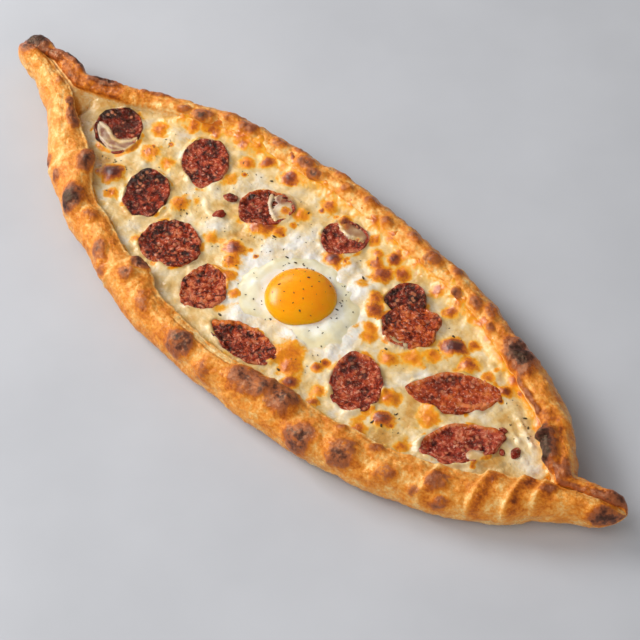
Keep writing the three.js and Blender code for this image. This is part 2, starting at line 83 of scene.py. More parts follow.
TIP_ROUND_START = 210
TIP_TAPER = 0.72
TIP_BLEND = 3
LIFT_START = 176
SEAM_GAP = 1.4
SEAM_DEPTH = 3
SEAM_START = 150
SEAM_BLEND = 2
RIM_WIDTH = {NEAR: 16.5, FAR: 15}
RIM_STEPS = {NEAR: [(22, 48, 4.5), (140, 170, 3)], FAR: [(90, 140, 3)]}
RIM_SWELLS = {NEAR: [(-142, 22, 8), (-48, 8, 3.5)], FAR: []}
HEEL_INSET = 12
HEEL_SHARE = 0.62
BELLY_SHARE = 0.42
CREST_SHARE = 0.55
BELLY_AT = 0.3
CREST_AT = 0.7
LIP_DROP = 3
BAND_LENGTH = 46
WALL_RUN = 3
WALL_SHARE = 0.4
EDGE_SHARE = 0.35
HOLLOW_DEEP = (1, 12)
EDGE_DIP = 0.8
SEAM_STEP = 0.7

# Blisters on each side of the rim: place along the bread, share of the way from heel to lip, radius, how
# charred, and for long ones half the length of their ridge
BLISTERS = {
    NEAR: [
        (-115.5, 0.58, 7.5, 1.25), (-130, 0.85, 6, 0.8), (-135, 0.44, 3.5, 0.55), (-150, 0.36, 4, 0.7),
        (-79, 0.56, 6, 0.5), (-100, 0.7, 5, 0.3), (-56, 0.9, 6, 0.85), (-55, 0.66, 4, 0.6),
        (-36, 0.66, 6, 0.3), (-3, 0.58, 8.5, 0.8), (17, 0.5, 6, 0.35), (82, 0.5, 8.5, 0.74),
        (105, 0.56, 8, 0.65), (66, 0.68, 5, 0.3), (94, 0.86, 3, 0.3), (115, 0.84, 4, 0.35),
        (128, 0.54, 6, 0.35), (150, 0.66, 5.5, 0.55), (157, 0.44, 4, 0.5), (144, 0.5, 3.5, 0.4),
        (192, 0.78, 4, 0.4), (221, 0.5, 7.5, 0.95), (-218, 0.85, 9, 0.7), (-186, 0.8, 4, 0.35),
        (-70, 0.42, 5, 0.3),
        (-162, 0.84, 4, 0.65, 6), (40, 0.72, 9, 0.6, 3), (57, 0.76, 8.5, 0.68, 4),
    ],
    FAR: [
        (-217, 0.72, 12, 1.1), (-200, 0.78, 5, 0.75), (-112, 0.84, 6, 0.85), (-122, 0.82, 4, 0.7),
        (-100, 0.7, 5, 0.55), (-88, 0.74, 6, 0.7), (-68, 0.7, 4.5, 0.65), (-56, 0.6, 4, 0.5),
        (-28, 0.62, 4, 0.5), (-20, 0.76, 4, 0.45), (-3, 0.7, 4.5, 0.5), (12, 0.8, 4, 0.5),
        (30, 0.7, 4, 0.5), (48, 0.78, 6, 0.65), (62, 0.62, 4, 0.6), (72, 0.92, 4.5, 0.8),
        (84, 0.78, 5, 0.7), (93, 0.68, 5, 0.7), (101, 0.85, 3.5, 0.55), (219, 0.7, 7, 0.9),
        (190, 0.75, 5, 0.55), (-193, 0.6, 3.5, 0.9, 9), (-167, 0.66, 4, 0.95, 4), (-142, 0.62, 3.5, 0.7, 4),
        (-48, 0.76, 5.5, 0.8, 1), (-39, 0.86, 5, 0.85), (124, 0.72, 9, 1.1, 3), (145, 0.96, 2.8, 0.55, 8),
        (166, 0.94, 4.5, 1.3), (175, 0.93, 6.5, 1.35, 3), (202, 0.86, 2.5, 0.7, 16),
    ],
}
BLISTER_RISE = 0.4
BLISTER_HIGHEST = 7.5
# Their dome, brown halo, pale ring and charred core, as shares of the radius
BLISTER_DOME = 1.35
BLISTER_HALO = (0.6, 1.4)
BLISTER_RING = {"at": 1.75, "reach": 0.4}
BLISTER_CORE = (0.75, 1.1)
MOST_CHAR = 1.1
TIP_SHRINK = 0.62

# Folds of dough that lap over their neighbour, and the pleats where the near rim is gathered: where one
# starts at the heel, how far it slants by the lip, how high it stands, how long its back is, how brown it is
FOLDS = [
    (-152, 18, 2.1, 18, 0), (-69, 8, 1.7, 18, 0), (150, -8, 1.4, 8, 0.5), (171, -8, 2.3, 7, 0.8),
    (185, -8, 2.5, 6, 0.9), (194, -8, 1.8, 6, 0.6),
]
LONG_FOLD = 10
LONG_FOLD_SHOWN = (0.1, 0.35)
SHORT_FOLD_SHOWN = (0.22, 0.48)
STRIP_FROM, STRIP_TO = -22, 32
STRIP_FADE = 8
STRIP_EDGE = 0.78

# Uneven dough: sizes and heights of its waves on each side
DOUGH_WAVES = {
    NEAR: [(26, 0.5), (10, 0.4), (4.5, 0.4), (2.2, 0.24)],
    FAR: [(16, 0.9), (8, 0.7), (4.5, 0.5), (2.2, 0.26)],
}
FAR_KNOBS = [(8, 1.0), (4, 0.5)]
USUAL_BAKE = 0.42
# How baked the inner walls are; the near wall's darker tone is partly painted shade in the gap by the cheese
WALL_BAKE_AND_SHADE = {NEAR: 0.5, FAR: 0.18}
CRINKLES = [(6.5, 0.55), (3.4, 0.32)]

# Mesh steps
BODY_STEP = 0.75
TIP_STEPS = 26
BAND_STEPS = 64
WALL_STEPS = 6
# How far apart the two sides of the rim lie in the place that its streaks follow
STREAK_SHIFT = 90


def srgb(red, green, blue):
    """A colour given from 0 to 255, as the linear colour that a shader takes."""
    share = np.array([red, green, blue]) / 255
    linear = np.where(share <= 0.04045, share / 12.92, ((share + 0.055) / 1.055) ** 2.4)
    return (*linear.tolist(), 1.0)


def mix(a, b, share):
    return a + (b - a) * share


def smooth(x, low, high):
    share = np.clip((x - low) / (high - low), 0, 1)
    return share * share * (3 - 2 * share)


def bell(distance, reach):
    return np.exp(-((distance / reach) ** 2))


def soft_max(a, b, blend):
    return (a + b + np.hypot(a - b, blend)) / 2


def swell(places, x):
    return sum((size * bell(x - middle, reach) for middle, reach, size in places), np.zeros_like(x))


def corner_slopes(cells, seed):
    """A repeatable slope for each whole-number corner of the noise's grid."""
    value = cells[..., 0] * 73856093 ^ cells[..., 1] * 19349663 ^ cells[..., 2] * 83492791 ^ seed * 49979687
    value = (value ^ (value >> 13)) * 1274126177 & 0x7FFFFFFF
    value = value ^ (value >> 16)
    fields = np.stack([value & 1023, value >> 10 & 1023, value >> 20 & 1023], -1)
    return fields / 511.5 - 1


def noise(place, size, seed):
    """Smooth noise, mostly from -1 to 1, with bumps about as wide as size. The seed picks the pattern."""
    scaled = place / size
    cell = np.floor(scaled).astype(np.int64)
    part = scaled - cell
    blend = part * part * part * (part * (part * 6 - 15) + 10)
    total = np.zeros(place.shape[:-1])
    for corner in np.ndindex(2, 2, 2):
        weight = np.prod(np.where(corner, blend, 1 - blend), axis=-1)
        slopes = corner_slopes(cell + np.array(corner), seed)
        total += weight * ((part - corner) * slopes).sum(-1)
    return 1.5 * total


def rough(place, waves, seed):
    """Uneven heights: the sum of noise of each size and height in waves."""
    return sum(height * noise(place, size, seed + index) for index, (size, height) in enumerate(waves))


def bubbles(place, waves, seed):
    """Rounded bumps with creases between them, of each size and height in waves."""
    total = 0
    for index, (size, height) in enumerate(waves):
        total = total + height * np.abs(noise(place, size, seed + index))
    return total


def flat_place(x, y):
    return np.stack([x, y, np.zeros_like(x)], -1)


def full_turn(steps):
    return np.linspace(0, 2 * math.pi, steps, endpoint=False)


# The bread's lines, each as a function of the place along it


def end_value(x, name):
    return np.where(x < 0, LEFT_END[name], RIGHT_END[name])


def spine(x):
    bent = np.minimum(1, np.abs(x) / end_value(x, "bend_reach")) ** end_value(x, "bend_power")
    return end_value(x, "bend") * bent + swell(SWAYS, x)


def ripple(x, side):
    strength = smooth(np.abs(x), *RIPPLE_START) * (1 - smooth(np.abs(x), *RIPPLE_END))
    waves = sum(height * np.sin(2 * np.pi * x / length + phase * side) for length, height, phase in RIPPLES)
    return strength * waves


def half_width(x, side):
    body = HALF_WIDTH * np.maximum(0, 1 - (x / end_value(x, "reach")) ** 2) ** end_value(x, "fullness")
    tip = end_value(x, side) * mix(1, TIP_TAPER, smooth(np.abs(x), TIP_START, TIP_ROUND_START))
    return np.minimum(HALF_WIDTH, soft_max(body, tip, TIP_BLEND) + ripple(x, side) + swell(BULGES[side], x))


def rim_width(x, side):
    steps = sum(extra * smooth(x, start, end) for start, end, extra in RIM_STEPS[side])
    return RIM_WIDTH[side] + steps + swell(RIM_SWELLS[side], x)


def seam_line(x):
    closing = smooth(np.abs(x), SEAM_START, TIP_START)
    ending = smooth(np.abs(x), TIP_START, HALF_LENGTH)
    return spine(x) + end_value(x, "seam_shift") * closing * (1 - ending)


def lip_line(x, side):
    seam = seam_line(x)
    open_room = side * (spine(x) - seam) + half_width(x, side) - rim_width(x, side)
    return seam + side * soft_max(open_room, SEAM_GAP / 2, SEAM_BLEND)


def hollow_room(x):
    return (lip_line(x, FAR) - lip_line(x, NEAR)) / 2


def base_height(x):
    return end_value(x, "lift") * smooth(np.abs(x), LIFT_START, HALF_LENGTH)


def towards_end(x):
    return smooth(np.abs(x), END_RISE_START, TIP_START)


def cheese_level(x):
    return CHEESE_LEVEL - end_value(x, "slump") * towards_end(x)


def crest_height(x, side):
    uneven = CREST_RIPPLE["share"] * ripple(x + CREST_RIPPLE["shift"], side)
    return RIM_HEIGHT + end_value(x, "rise") * towards_end(x) + uneven


def floor_height(x, side):
    deep = smooth(hollow_room(x), *HOLLOW_DEEP)
    return mix(crest_height(x, side) - SEAM_DEPTH - LIP_DROP / 2, base_height(x) + FLOOR_THICKNESS, deep)


def round_tip(x, y, z):
    """Draws a section's points in towards the middle of the tip over its rounded end."""
    past = np.clip((np.abs(x) - TIP_ROUND_START) / (HALF_LENGTH - TIP_ROUND_START), 0, 1)
    scale = np.sqrt(1 - past * past)
    return np.stack([x, mix(spine(x), y, scale), mix(end_value(x, "middle"), z, scale)], -1)


# The crust


def rim_band(x, side, around):
    """The rim's surface from its heel, at 0, over its belly and crest to its lip, at 1."""
    outer = spine(x) + side * half_width(x, side)
    lip = lip_line(x, side)
    top = crest_height(x, side)
    base = base_height(x)
    belly = mix(base, top, BELLY_SHARE)
    heel = outer - side * np.minimum(HEEL_INSET, HEEL_SHARE * np.abs(outer - spine(x)))
    crest = mix(outer, lip, CREST_SHARE)
    lower = math.pi / 2 * (1 - np.clip(around / BELLY_AT, 0, 1))
    upper = math.pi / 2 * np.clip((around - BELLY_AT) / (CREST_AT - BELLY_AT), 0, 1)
    over = math.pi / 2 * np.clip((around - CREST_AT) / (1 - CREST_AT), 0, 1)
    parts = [around < BELLY_AT, around < CREST_AT]
    y = np.select(parts, [mix(heel, outer, np.cos(lower)), mix(crest, outer, np.cos(upper))],
                  mix(crest, lip, np.sin(over)))
    z = np.select(parts, [mix(belly, base, np.sin(lower)), mix(belly, top, np.sin(upper))],
                  top - LIP_DROP * (1 - np.cos(over)))
    return round_tip(x, y, z)


def blister_marks(x, side, around, place):
    """How high the blisters stand, how brown the crust is round them, and how charred their tops are."""
    rise = np.zeros_like(x)
    brown = np.zeros_like(x)
    char = np.zeros_like(x)
    wobble = 0.26 * noise(place, 7, 40) + 0.16 * noise(place, 2.8, 42)
    band = BAND_LENGTH * mix(1, TIP_SHRINK, smooth(np.abs(x), TIP_START, TIP_ROUND_START))
    for middle, share, radius, charred, *ridge in BLISTERS[side]:
        along = np.maximum(0, np.abs(x - middle) - sum(ridge))
        out = np.hypot(along, (around - share) * band) * (1 + wobble * min(1, 6 / radius)) / radius
        high = BLISTER_RISE * min(radius, BLISTER_HIGHEST) * (1 + smooth(charred, 1.2, 1.35))
        rise += high * np.maximum(0, 1 - (out / BLISTER_DOME) ** 2) ** 1.3
        halo = (0.25 + 0.6 * charred) * (1 - smooth(out, *BLISTER_HALO))
        ring = bell(out - BLISTER_RING["at"], BLISTER_RING["reach"])
        brown = np.maximum(brown, halo) - 0.12 * charred * ring
        core = 0.55 * (1 - smooth(out, *BLISTER_CORE)) + 0.6 * bell(out, 0.62)
        char = np.maximum(char, min(charred, MOST_CHAR) * core)
    lumps = char * (1 - 0.35 * smooth(char, 0.8, 1.2))
    return rise + lumps * (0.7 * noise(place, 3.2, 41) + 0.4 * noise(place, 1.8, 43)), brown, char


def near_folds(x, around):
    """How high the near rim's folds stand, how pale the dough is along them, partly a painted highlight, and
    how brown their crowns are.
    """
    rise = np.zeros_like(x)
    pale = np.zeros_like(x)
    crown = np.zeros_like(x)
    for start, slant, height, back, browned in FOLDS:
        past = x - start - slant * around
        shown = smooth(around, *(LONG_FOLD_SHOWN if back > LONG_FOLD else SHORT_FOLD_SHOWN))
        lapped = smooth(past, -1.2, 1.5) * np.exp(-np.maximum(past - 1, 0) / back) * shown
        rise = rise + height * lapped
        # Paler along each fold's step: stretched dough, with a painted highlight where the step faces the
        # window light
        pale = np.maximum(pale, 0.75 * bell(past - 0.3, back / 7) * shown)
        crown = np.maximum(crown, browned * bell(past - 4.4, 2.8) * shown)
    begun = smooth(x, STRIP_FROM, STRIP_FROM + STRIP_FADE)
    along = begun * (1 - smooth(x, STRIP_TO - STRIP_FADE, STRIP_TO))
    strip = along * smooth(around, STRIP_EDGE - 0.02, STRIP_EDGE + 0.03)
    groove = along * bell(around - STRIP_EDGE, 0.018)
    return rise - 0.7 * strip - 0.6 * groove, np.maximum(pale, 0.8 * strip), crown


def rim_marks(x, side, around, place):
    """How far the rim's surface stands out, how brown it is baked, with some painted shade and highlight,
    and how charred it is.
    """
    rise, brown, char = blister_marks(x, side, around, place)
    rise += rough(place, DOUGH_WAVES[side], 10) + bubbles(place, CRINKLES, 16)
    lip = bell(around - 0.95, 0.035)
    top = smooth(around, 0.38, 0.55)
    bake_and_painted_light = USUAL_BAKE + 0.06 * noise(place, 24, 20) + (0.04 + 0.05 * top) * noise(place, 9, 21)
    bake_and_painted_light += top * (0.1 * noise(place, 4.5, 23) + 0.08 * noise(place, 2.2, 25) + 0.03)
    if side == NEAR:
        folded, pale, crown = near_folds(x, around)
        rise += folded + 0.8 * lip
        bake_and_painted_light += -0.2 * np.maximum(pale, 0.8 * lip) - 0.07 * smooth(-x, 120, 165) - 0.05 * smooth(x, 50, 140)
        bake_and_painted_light += -0.06 * (1 - smooth(around, 0.15, 0.4))
        bake_and_painted_light += 0.36 * crown * (1 + 0.9 * noise(place, 5, 26))
    else:
        edge = smooth(around, 0.28, 0.4) * (1 - smooth(around, 0.52, 0.68))
        inner = smooth(around, 0.66, 0.85)
        knobs = bubbles(place, FAR_KNOBS, 24)
        rise += inner * knobs * (1 - smooth(-x, 120, 150))
        # Towards the left neck the far rim is darker: a charred seam, with painted shade over the pocket's
        # inner slope
        neck = smooth(-x, 135, 165)
        bake_and_painted_light += 0.15 * edge * (0.6 + 0.7 * noise(place, 13, 22)) - 0.07
        bake_and_painted_light -= 0.2 * inner * (1.2 - 1.5 * knobs) * (1 - 0.7 * neck)
        char = char * (0.65 + 0.35 * smooth(char, 0.75, 1.05))
        bake_and_painted_light += smooth(around, 0.6, 0.75) * (0.07 + 0.22 * smooth(x, 90, 130) + 0.3 * neck)
    bake_and_painted_light += 0.38 * brown
    shown = smooth(around, 0.02, 0.14) * np.sqrt(1 - smooth(np.abs(x), TIP_ROUND_START, HALF_LENGTH))
    return rise * shown, bake_and_painted_light, char


def stations():
    body = np.arange(-TIP_ROUND_START, TIP_ROUND_START + BODY_STEP / 2, BODY_STEP)
    turn = np.radians(np.linspace(0, 90, TIP_STEPS, endpoint=False)[1:])
    tip = TIP_ROUND_START + (HALF_LENGTH - TIP_ROUND_START) * np.sin(turn)
    return np.concatenate([-tip[::-1], body, tip])


def surface_normals(points, side):
    along = np.gradient(points, axis=0)
    across = np.gradient(points, axis=1)
    normal = side * np.cross(across, along)
    return normal / np.maximum(np.linalg.norm(normal, axis=-1, keepdims=True), 1e-9)


def rim_wall(along, side, inward):
    """The rim's inner wall from its lip, at 0, past the edge of the cheese to the floor, at 1."""
    x = np.broadcast_to(along, (len(along), WALL_STEPS))
    run = np.minimum(WALL_RUN, WALL_SHARE * hollow_room(x))
    floor = floor_height(x, side)
    edge = mix(floor + SEAM_STEP, cheese_level(x) - EDGE_DIP, smooth(hollow_room(x), *HOLLOW_DEEP))
    lip_z = crest_height(x, side) - LIP_DROP
    upper, lower = 2 * inward, 2 * inward - 1
    y = lip_line(x, side) - side * run * np.where(upper < 1, upper * EDGE_SHARE, mix(EDGE_SHARE, 1, lower))
    z = np.where(upper < 1, mix(lip_z, edge, upper), mix(edge, floor, lower))
    return round_tip(x, y, z)


def crust_side(side):
    """One side of the crust as columns of points from under the bread to its floor, with their masks."""
    along = stations()[:, None]
    x, around = np.broadcast_arrays(along, np.linspace(0, 1, BAND_STEPS + 1)[None, :])
    smooth_band = rim_band(x, side, around)
    rise, bake_and_painted_light, char = rim_marks(x, side, around, smooth_band)
    band = smooth_band + surface_normals(smooth_band, side) * rise[..., None]
    inward = np.linspace(0, 1, WALL_STEPS + 1)[None, 1:]
    wall = rim_wall(along, side, inward)
    wall += (band[:, -1:] - smooth_band[:, -1:]) * ((1 - inward) ** 2)[..., None]
    middle = round_tip(along, spine(along), base_height(along))
    under = mix(middle, smooth_band[:, :1], 0.5)
    points = np.concatenate([under, band, wall], axis=1)

    streak_place = np.zeros_like(points)
    streak_place[..., 0] = along
    streak_place[:, 1:2 + BAND_STEPS, 1] = np.linspace(0, BAND_LENGTH, BAND_STEPS + 1)
    streak_place[:, 2 + BAND_STEPS:, 1] = BAND_LENGTH
    streak_place[..., 2] = side * STREAK_SHIFT
    pad = [(0, 0), (1, WALL_STEPS)]
    masks = {
        "bake_and_painted_light": np.pad(bake_and_painted_light, pad, constant_values=WALL_BAKE_AND_SHADE[side]),
        "char": np.pad(char, pad),
        "rim": streak_place,
    }
    return points, masks


def crust_shape():
    """The closed skin of the crust: its points, its faces and its masks."""
    x = stations()[:, None]
    far, far_masks = crust_side(FAR)
    near, near_masks = crust_side(NEAR)
    under = round_tip(x, spine(x), base_height(x))
    floor = (far[:, -1:] + near[:, -1:]) / 2
    rings = np.concatenate([under, far, floor, near[:, ::-1]], axis=1)
    masks = {}
    for name in far_masks:
        far_mask, near_mask = far_masks[name], near_masks[name]
        ring = [far_mask[:, :1], far_mask, far_mask[:, -1:], near_mask[:, ::-1]]
        masks[name] = np.concatenate(ring, axis=1)
    return close_rings(rings, masks)


def close_rings(rings, masks):
    """Joins equal rings into a closed skin, with a point in the middle of each end."""
    count, steps = rings.shape[:2]
    ends = [rings[0].mean(0), rings[-1].mean(0)]
    points = np.concatenate([rings.reshape(-1, 3), ends])
    place = np.arange(count * steps).reshape(count, steps)
    after = np.roll(place, -1, axis=1)
    sides = np.stack([place[:-1], after[:-1], after[1:], place[1:]], -1).reshape(-1, 4)
    first = [(after[0, k], place[0, k], count * steps) for k in range(steps)]
    last = [(place[-1, k], after[-1, k], count * steps + 1) for k in range(steps)]
    closed = {}
    for name, values in masks.items():
        flat = values.reshape(count * steps, -1)
        closed[name] = np.concatenate([flat, flat[:1], flat[-1:]])
    return points, sides.tolist() + first + last, closed


# The toppings. Slices of sausage: place, long and short diameter, turn from +X and lean of the far side in
# degrees, how far they are raised, how pointed they are, and where an edge has a tail
Slice = namedtuple("Slice", "x y long short turn lean raised pointed tail", defaults=[None])
SLICES = [
    Slice(-140, 7, 34, 27, 136, 4, 0, 0), Slice(-89, 25, 34, 26, 136, 5, 0, 0),
    Slice(-94, -13, 34, 25, 124, 4, 0, 0), Slice(-59, -27, 34, 31, 30, 2, 0, 0),
    Slice(-42, 26, 31, 26, 50, 0, 0, 0), Slice(2, 42, 26, 24, 46, 0, 0, 0),
    Slice(-24, -35, 30, 25, 120, 2, 0, 0), Slice(18, -44, 38, 21, 6, 0, 0, 0, -165),
    Slice(69, 25, 31, 29, 46, 2, 0.6, 0), Slice(76, -21, 39, 28, 132, 5, 0, 0),
    Slice(114, 10, 50, 26, 40, 3, 0, 0.8), Slice(139, -10, 46, 25, 54, 2, 0, 0.5),
    Slice(54.5, 36, 23, 20, 46, 14, 0.4, 0),
]
# Their looks: how coarse and ragged they are, how light, how orange, how bright the rind at the far edge is,
# partly a painted highlight
SLICE_LOOKS = [
    (0.4, 0.04, -0.16, 0.3, 0), (1.0, 0.07, 0.0, 0.3, 0.2), (0.9, 0.07, -0.1, 0.35, 0),
    (1.5, 0.1, -0.04, 0.5, 0.2), (0.9, 0.06, -0.05, 0.35, 0.8), (0.8, 0.08, 0.03, 0.15, 0.2),
    (1.3, 0.14, 0.05, 0.5, 0.4), (1.5, 0.11, 0.0, 0.5, 1.6), (1.2, 0.1, 0.05, 0.9, 0.2),
    (0.8, 0.06, 0.02, 0.4, 0.5), (0.6, 0.04, 0.06, 0.8, 0.9), (0.8, 0.07, 0.08, 0.1, 0.9),
    (0.9, 0.06, -0.2, 0.3, 0.6),
]
BURNT_WAY = (-0.85, 0.5)
FAR_WAY = (-0.78, 0.62)
# A painted highlight along the edge of one slice: the line it follows
PAINTED_HIGHLIGHT_STREAK = [(122, 7), (127, 12), (133, 16.5)]
SLICE_THICKNESS = 4.4
SLICE_SINK = 1.1
SLICE_CUP = 0.7
TAPER_DEPTH = 0.16
TAPER_SHARE = 0.85
TAIL_SIZE = 0.2
SLICE_WAVES = [(3, 0.025), (5, 0.015), (7, 0.01)]
SLICE_GRAIN = [(7, 0.35), (3.2, 0.6), (1.6, 0.3)]
SLICE_STEPS = 96
SLICE_TOP_RINGS = 30
# From the top to the underside: share of the way to the edge, and how far below the top
SLICE_SIDE = [(0.985, 0.3), (1.0, 0.9), (1.0, 2.0), (0.99, 3.1), (0.95, 4.1), (0.85, 4.4), (0.4, 4.4)]
CRUMBS = [(-61, 18, 3.4), (-56, 5, 3.2), (162, 7, 3), (157, 2.5, 1.9), (148, 12.5, 2)]
CRUMB_FORM = (1.15, 0.8, 0.6)
CRUMB_STEPS = (22, 13)
CRUMB_UNEVEN = 0.3
LUMP_CLIMB = 84
EGG = (16, -3)
YOLK_RADIUS = 18.8
YOLK_BASE = 1.2
YOLK_RISE = 9
YOLK_CLIMB = (88, -24)
YOLK_STEPS, YOLK_RINGS = 96, 36
WHITE_RADIUS = 32
WHITE_LOBES = [(2, 5, -20), (3, 3, 40)]
WHITE_RISE = 2.6
WHITE_WAVES = [(14, 0.9), (6, 0.45), (2.6, 0.1)]
WHITE_OUTER = 1.1
WHITE_BOTTOM = 12.9
WHITE_STEPS, WHITE_RINGS = 200, 60

# Browned spots of the cheese: place, radius, how dark the middle is
SPOTS = [
    (-118, -16, 7.5, 1.1), (94, 32, 7.5, 1.1), (102, -27, 6.5, 0.85), (-33, -5, 6.5, 0.8), (8, 28, 5.5, 0.9),
    (34, 40, 7, 0.75), (31, 51, 5, 0.85), (48, 20, 6, 0.7), (-31, 18, 6, 0.65), (-65, 49, 5, 0.7),
    (-49, 50, 5.5, 0.85), (53, -45, 5, 0.85), (133, 30, 4.5, 0.75), (76, 3, 5.5, 0.3), (55, -28, 3.5, 0.65),
    (-125, 24, 5.5, 0.35), (-115, 9, 6, 0.4), (-103, 10, 5, 0.2), (-76, -5, 6, 0.35), (-73, 41, 5, 0.35),
    (-25, 37, 5.5, 0.2), (-33, 32, 2.6, 0.25), (-22, -21, 6, 0.35), (44, -12, 4.5, 0.25),
    (58, 5, 5, 0.2), (39, -31, 9, 0.12), (85, 12, 7, 0.15), (107, 29, 6, 0.6), (94, -15, 6, 0.3),
    (117, -10, 7, 0.1), (-10, -26, 4, 0.2),
    (66, -38, 5, 0.3), (-47, -9, 4, 0.15), (22, 47, 4, 0.5), (120, 30, 4, 0.4), (-84, 48, 4, 0.5),
    (-36, 14, 6, 0.6), (-25, 20, 5, 0.35), (-27, -12, 6, 0.4), (-19, -28, 5, 0.3), (34, -37, 8, 0.15),
    (45, -38, 7, 0.4), (43, 26, 5, 0.5), (40, 47, 5, 0.6), (26, 42, 5, 0.5), (54, 10, 4, 0.3),
    (90, 20, 5, 0.2), (112, -2, 5, 0.1), (-6, 51, 4, 0.6), (62, 52, 5, 0.5), (77, 47, 5, 0.55),
    (14, 53, 4, 0.45), (-100, 43, 4, 0.45), (-112, 38, 4, 0.4), (-20, 52, 5, 0.5), (100, 40, 4, 0.5),
    (-74, -38, 4, 0.35),
    (-108, -26, 4, 0.4), (70, -45, 4, 0.5), (98, -40, 5, 0.35), (120, -32, 4, 0.35),
]
SMALL_SPOTS = {"count": 36, "along": (-150, 170), "across": 0.92, "radius": (0.9, 2.3), "dark": (0.2, 0.9)}
SPOT_RISE = 0.34

# Mounds of set egg and soft cheese: place, radius, rise
MOUNDS = [
    (-14, 27, 8, 1.7), (-20, 10, 7, 1.1), (33, 25, 6, 1.1), (2, -35, 5, 1.4), (-50, -2, 5, 1.1),
    (-20, -4, 6, 0.9), (-4, -27, 5, 1.0), (50, -14, 6, 0.9), (16, 32, 5, 0.9), (34, -21, 6, 0.8),
]

# Cheese that runs over a slice: the line it follows, half its width, its thickness, how see-through it is
DRAPES = [
    ([(-149, 1), (-140, -1.5), (-133, -1.5), (-128, 4)], 3.4, 0.3, 0.85),
    ([(-153, 3), (-145, 3.4), (-137, 0.6), (-132.6, 1.6), (-129, 6), (-128, 10)], 1.2, 0.35, 0.25),
    ([(-152.5, 2.7), (-144, -3), (-135, -4), (-126, 0), (-125, 6)], 0.9, 0.35, 0.35),
    ([(-39, 38), (-33, 38)], 4.5, 0.3, 0.85),
    ([(-35, 32), (-29, 31), (-27, 27)], 4.5, 0.5, 0.2),
    ([(-47, 36), (-43, 30), (-39, 27), (-32, 24)], 1.2, 0.3, 0.3),
    ([(-3, 48), (2, 47.5), (8, 50)], 3.4, 0.35, 0.75),
    ([(-9, 48), (-3, 45), (3, 44.5), (9, 47.5)], 0.9, 0.4, 0.25),
    ([(149, -10.5), (154, -7.5), (160, -4)], 3.2, 0.8, 0.3),
    ([(66, 12), (71, 12), (76, 14)], 1.8, 0.4, 0.4),
]

# Strands of cheese: the line one follows, half its width, its height
STRANDS = [
    ([(111, 40), (120, 36), (134, 29.5), (147, 24)], 2.6, 0.7),
    ([(149, 23), (159, 18.5), (165, 16)], 1.3, 0.9),
    ([(122, 32), (131, 27), (139, 25)], 2.2, 0.6), ([(146, 19), (153, 15), (158, 13.5)], 1.2, 0.6),
    ([(-100, 30), (-92, 40), (-80, 42)], 1.5, 0.6), ([(20, 20), (30, 33), (44, 34)], 1.6, 0.7),
    ([(-70, 8), (-62, 2), (-52, 4)], 1.5, 0.7), ([(85, -5), (92, 3), (102, 2)], 1.5, 0.6),
]

CHEESE_WAVES = [(16, 0.9), (7.5, 0.8), (4.2, 0.45), (2.3, 0.14)]
CHEESE_FROM, CHEESE_TO = -171, 187
CHEESE_STEP = 0.75
CHEESE_ACROSS = 104
CHEESE_CLIMB_STEPS = 34
CHEESE_BOTTOM = 8
CHEESE_EDGE = {NEAR: 0.3, FAR: 3}
CLIMB = {NEAR: 1.2, FAR: 2.6}
CLIMB_REACH = 4
FILM_REACH = 6
BARE_LEFT, BARE_RIGHT = (112, 132), (112, 140)
FILM_BUBBLES = [(9, 1.5), (4.5, 0.8), (2.4, 0.3)]
# How deep the cheese lies under the slices and under the egg, and how far it laps over a slice's edge
UNDER_SLICE = 2.5
UNDER_EGG = 1.6
MOST_LAP = 2.6


def line_distance(x, y, line):
    """The distance from each point to a line of joined points."""
    best = np.full_like(x, 1e9)
    for (x0, y0), (x1, y1) in zip(line[:-1], line[1:]):
        dx, dy = x1 - x0, y1 - y0
        share = np.clip(((x - x0) * dx + (y - y0) * dy) / (dx * dx + dy * dy), 0, 1)
        best = np.minimum(best, np.hypot(x - x0 - share * dx, y - y0 - share * dy))
    return best


def slice_outline(angle, item):
    """How far a slice's edge lies out at an angle, as shares of its half diameters."""
    taper = np.sin(2 * angle) ** 2 * (1 - np.cos(angle))
    sharp = 1 - TAPER_SHARE * item.pointed * TAPER_DEPTH * taper
    if item.tail is not None:
        turned = np.cos(angle - math.radians(item.tail))
        sharp = sharp + TAIL_SIZE * smooth(turned, 0.8, 1.0)
    return sharp * (1 + sum(size * np.sin(count * angle + item.x) for count, size in SLICE_WAVES))


def slice_reach(x, y, item):
    """How far each point lies from a slice's middle, as a share of the way to its edge."""
    turn = math.radians(item.turn)
    along = ((x - item.x) * math.cos(turn) + (y - item.y) * math.sin(turn)) / (item.long / 2)
    across = (-(x - item.x) * math.sin(turn) + (y - item.y) * math.cos(turn)) / (item.short / 2)
    return np.hypot(along, across) / slice_outline(np.arctan2(across, along), item)


def slice_height(item):
    return float(cheese_level(np.float64(item.x))) - SLICE_SINK + item.raised


def slice_top(y, item):
    return slice_height(item) + SLICE_THICKNESS / 2 + (y - item.y) * math.tan(math.radians(item.lean))


def white_reach(angle):
    lobes = sum(size * np.cos(count * angle + math.radians(phase)) for count, size, phase in WHITE_LOBES)
    return WHITE_RADIUS + lobes


def egg_away(x, y):
    return np.hypot(x - EGG[0], y - EGG[1])


def egg_edge(x, y):
    """How far out the white's edge lies, in the direction of each point from the egg's middle."""
    return white_reach(np.arctan2(y - EGG[1], x - EGG[0]))


def egg_share(x, y):
    """How far each point lies from the egg's middle, as a share of the way to the white's edge."""
    return egg_away(x, y) / egg_edge(x, y)


def round_egg(away, angle):
    """The place at a distance from the egg's middle, in the direction of an angle."""
    return EGG[0] + away * np.cos(angle), EGG[1] + away * np.sin(angle)


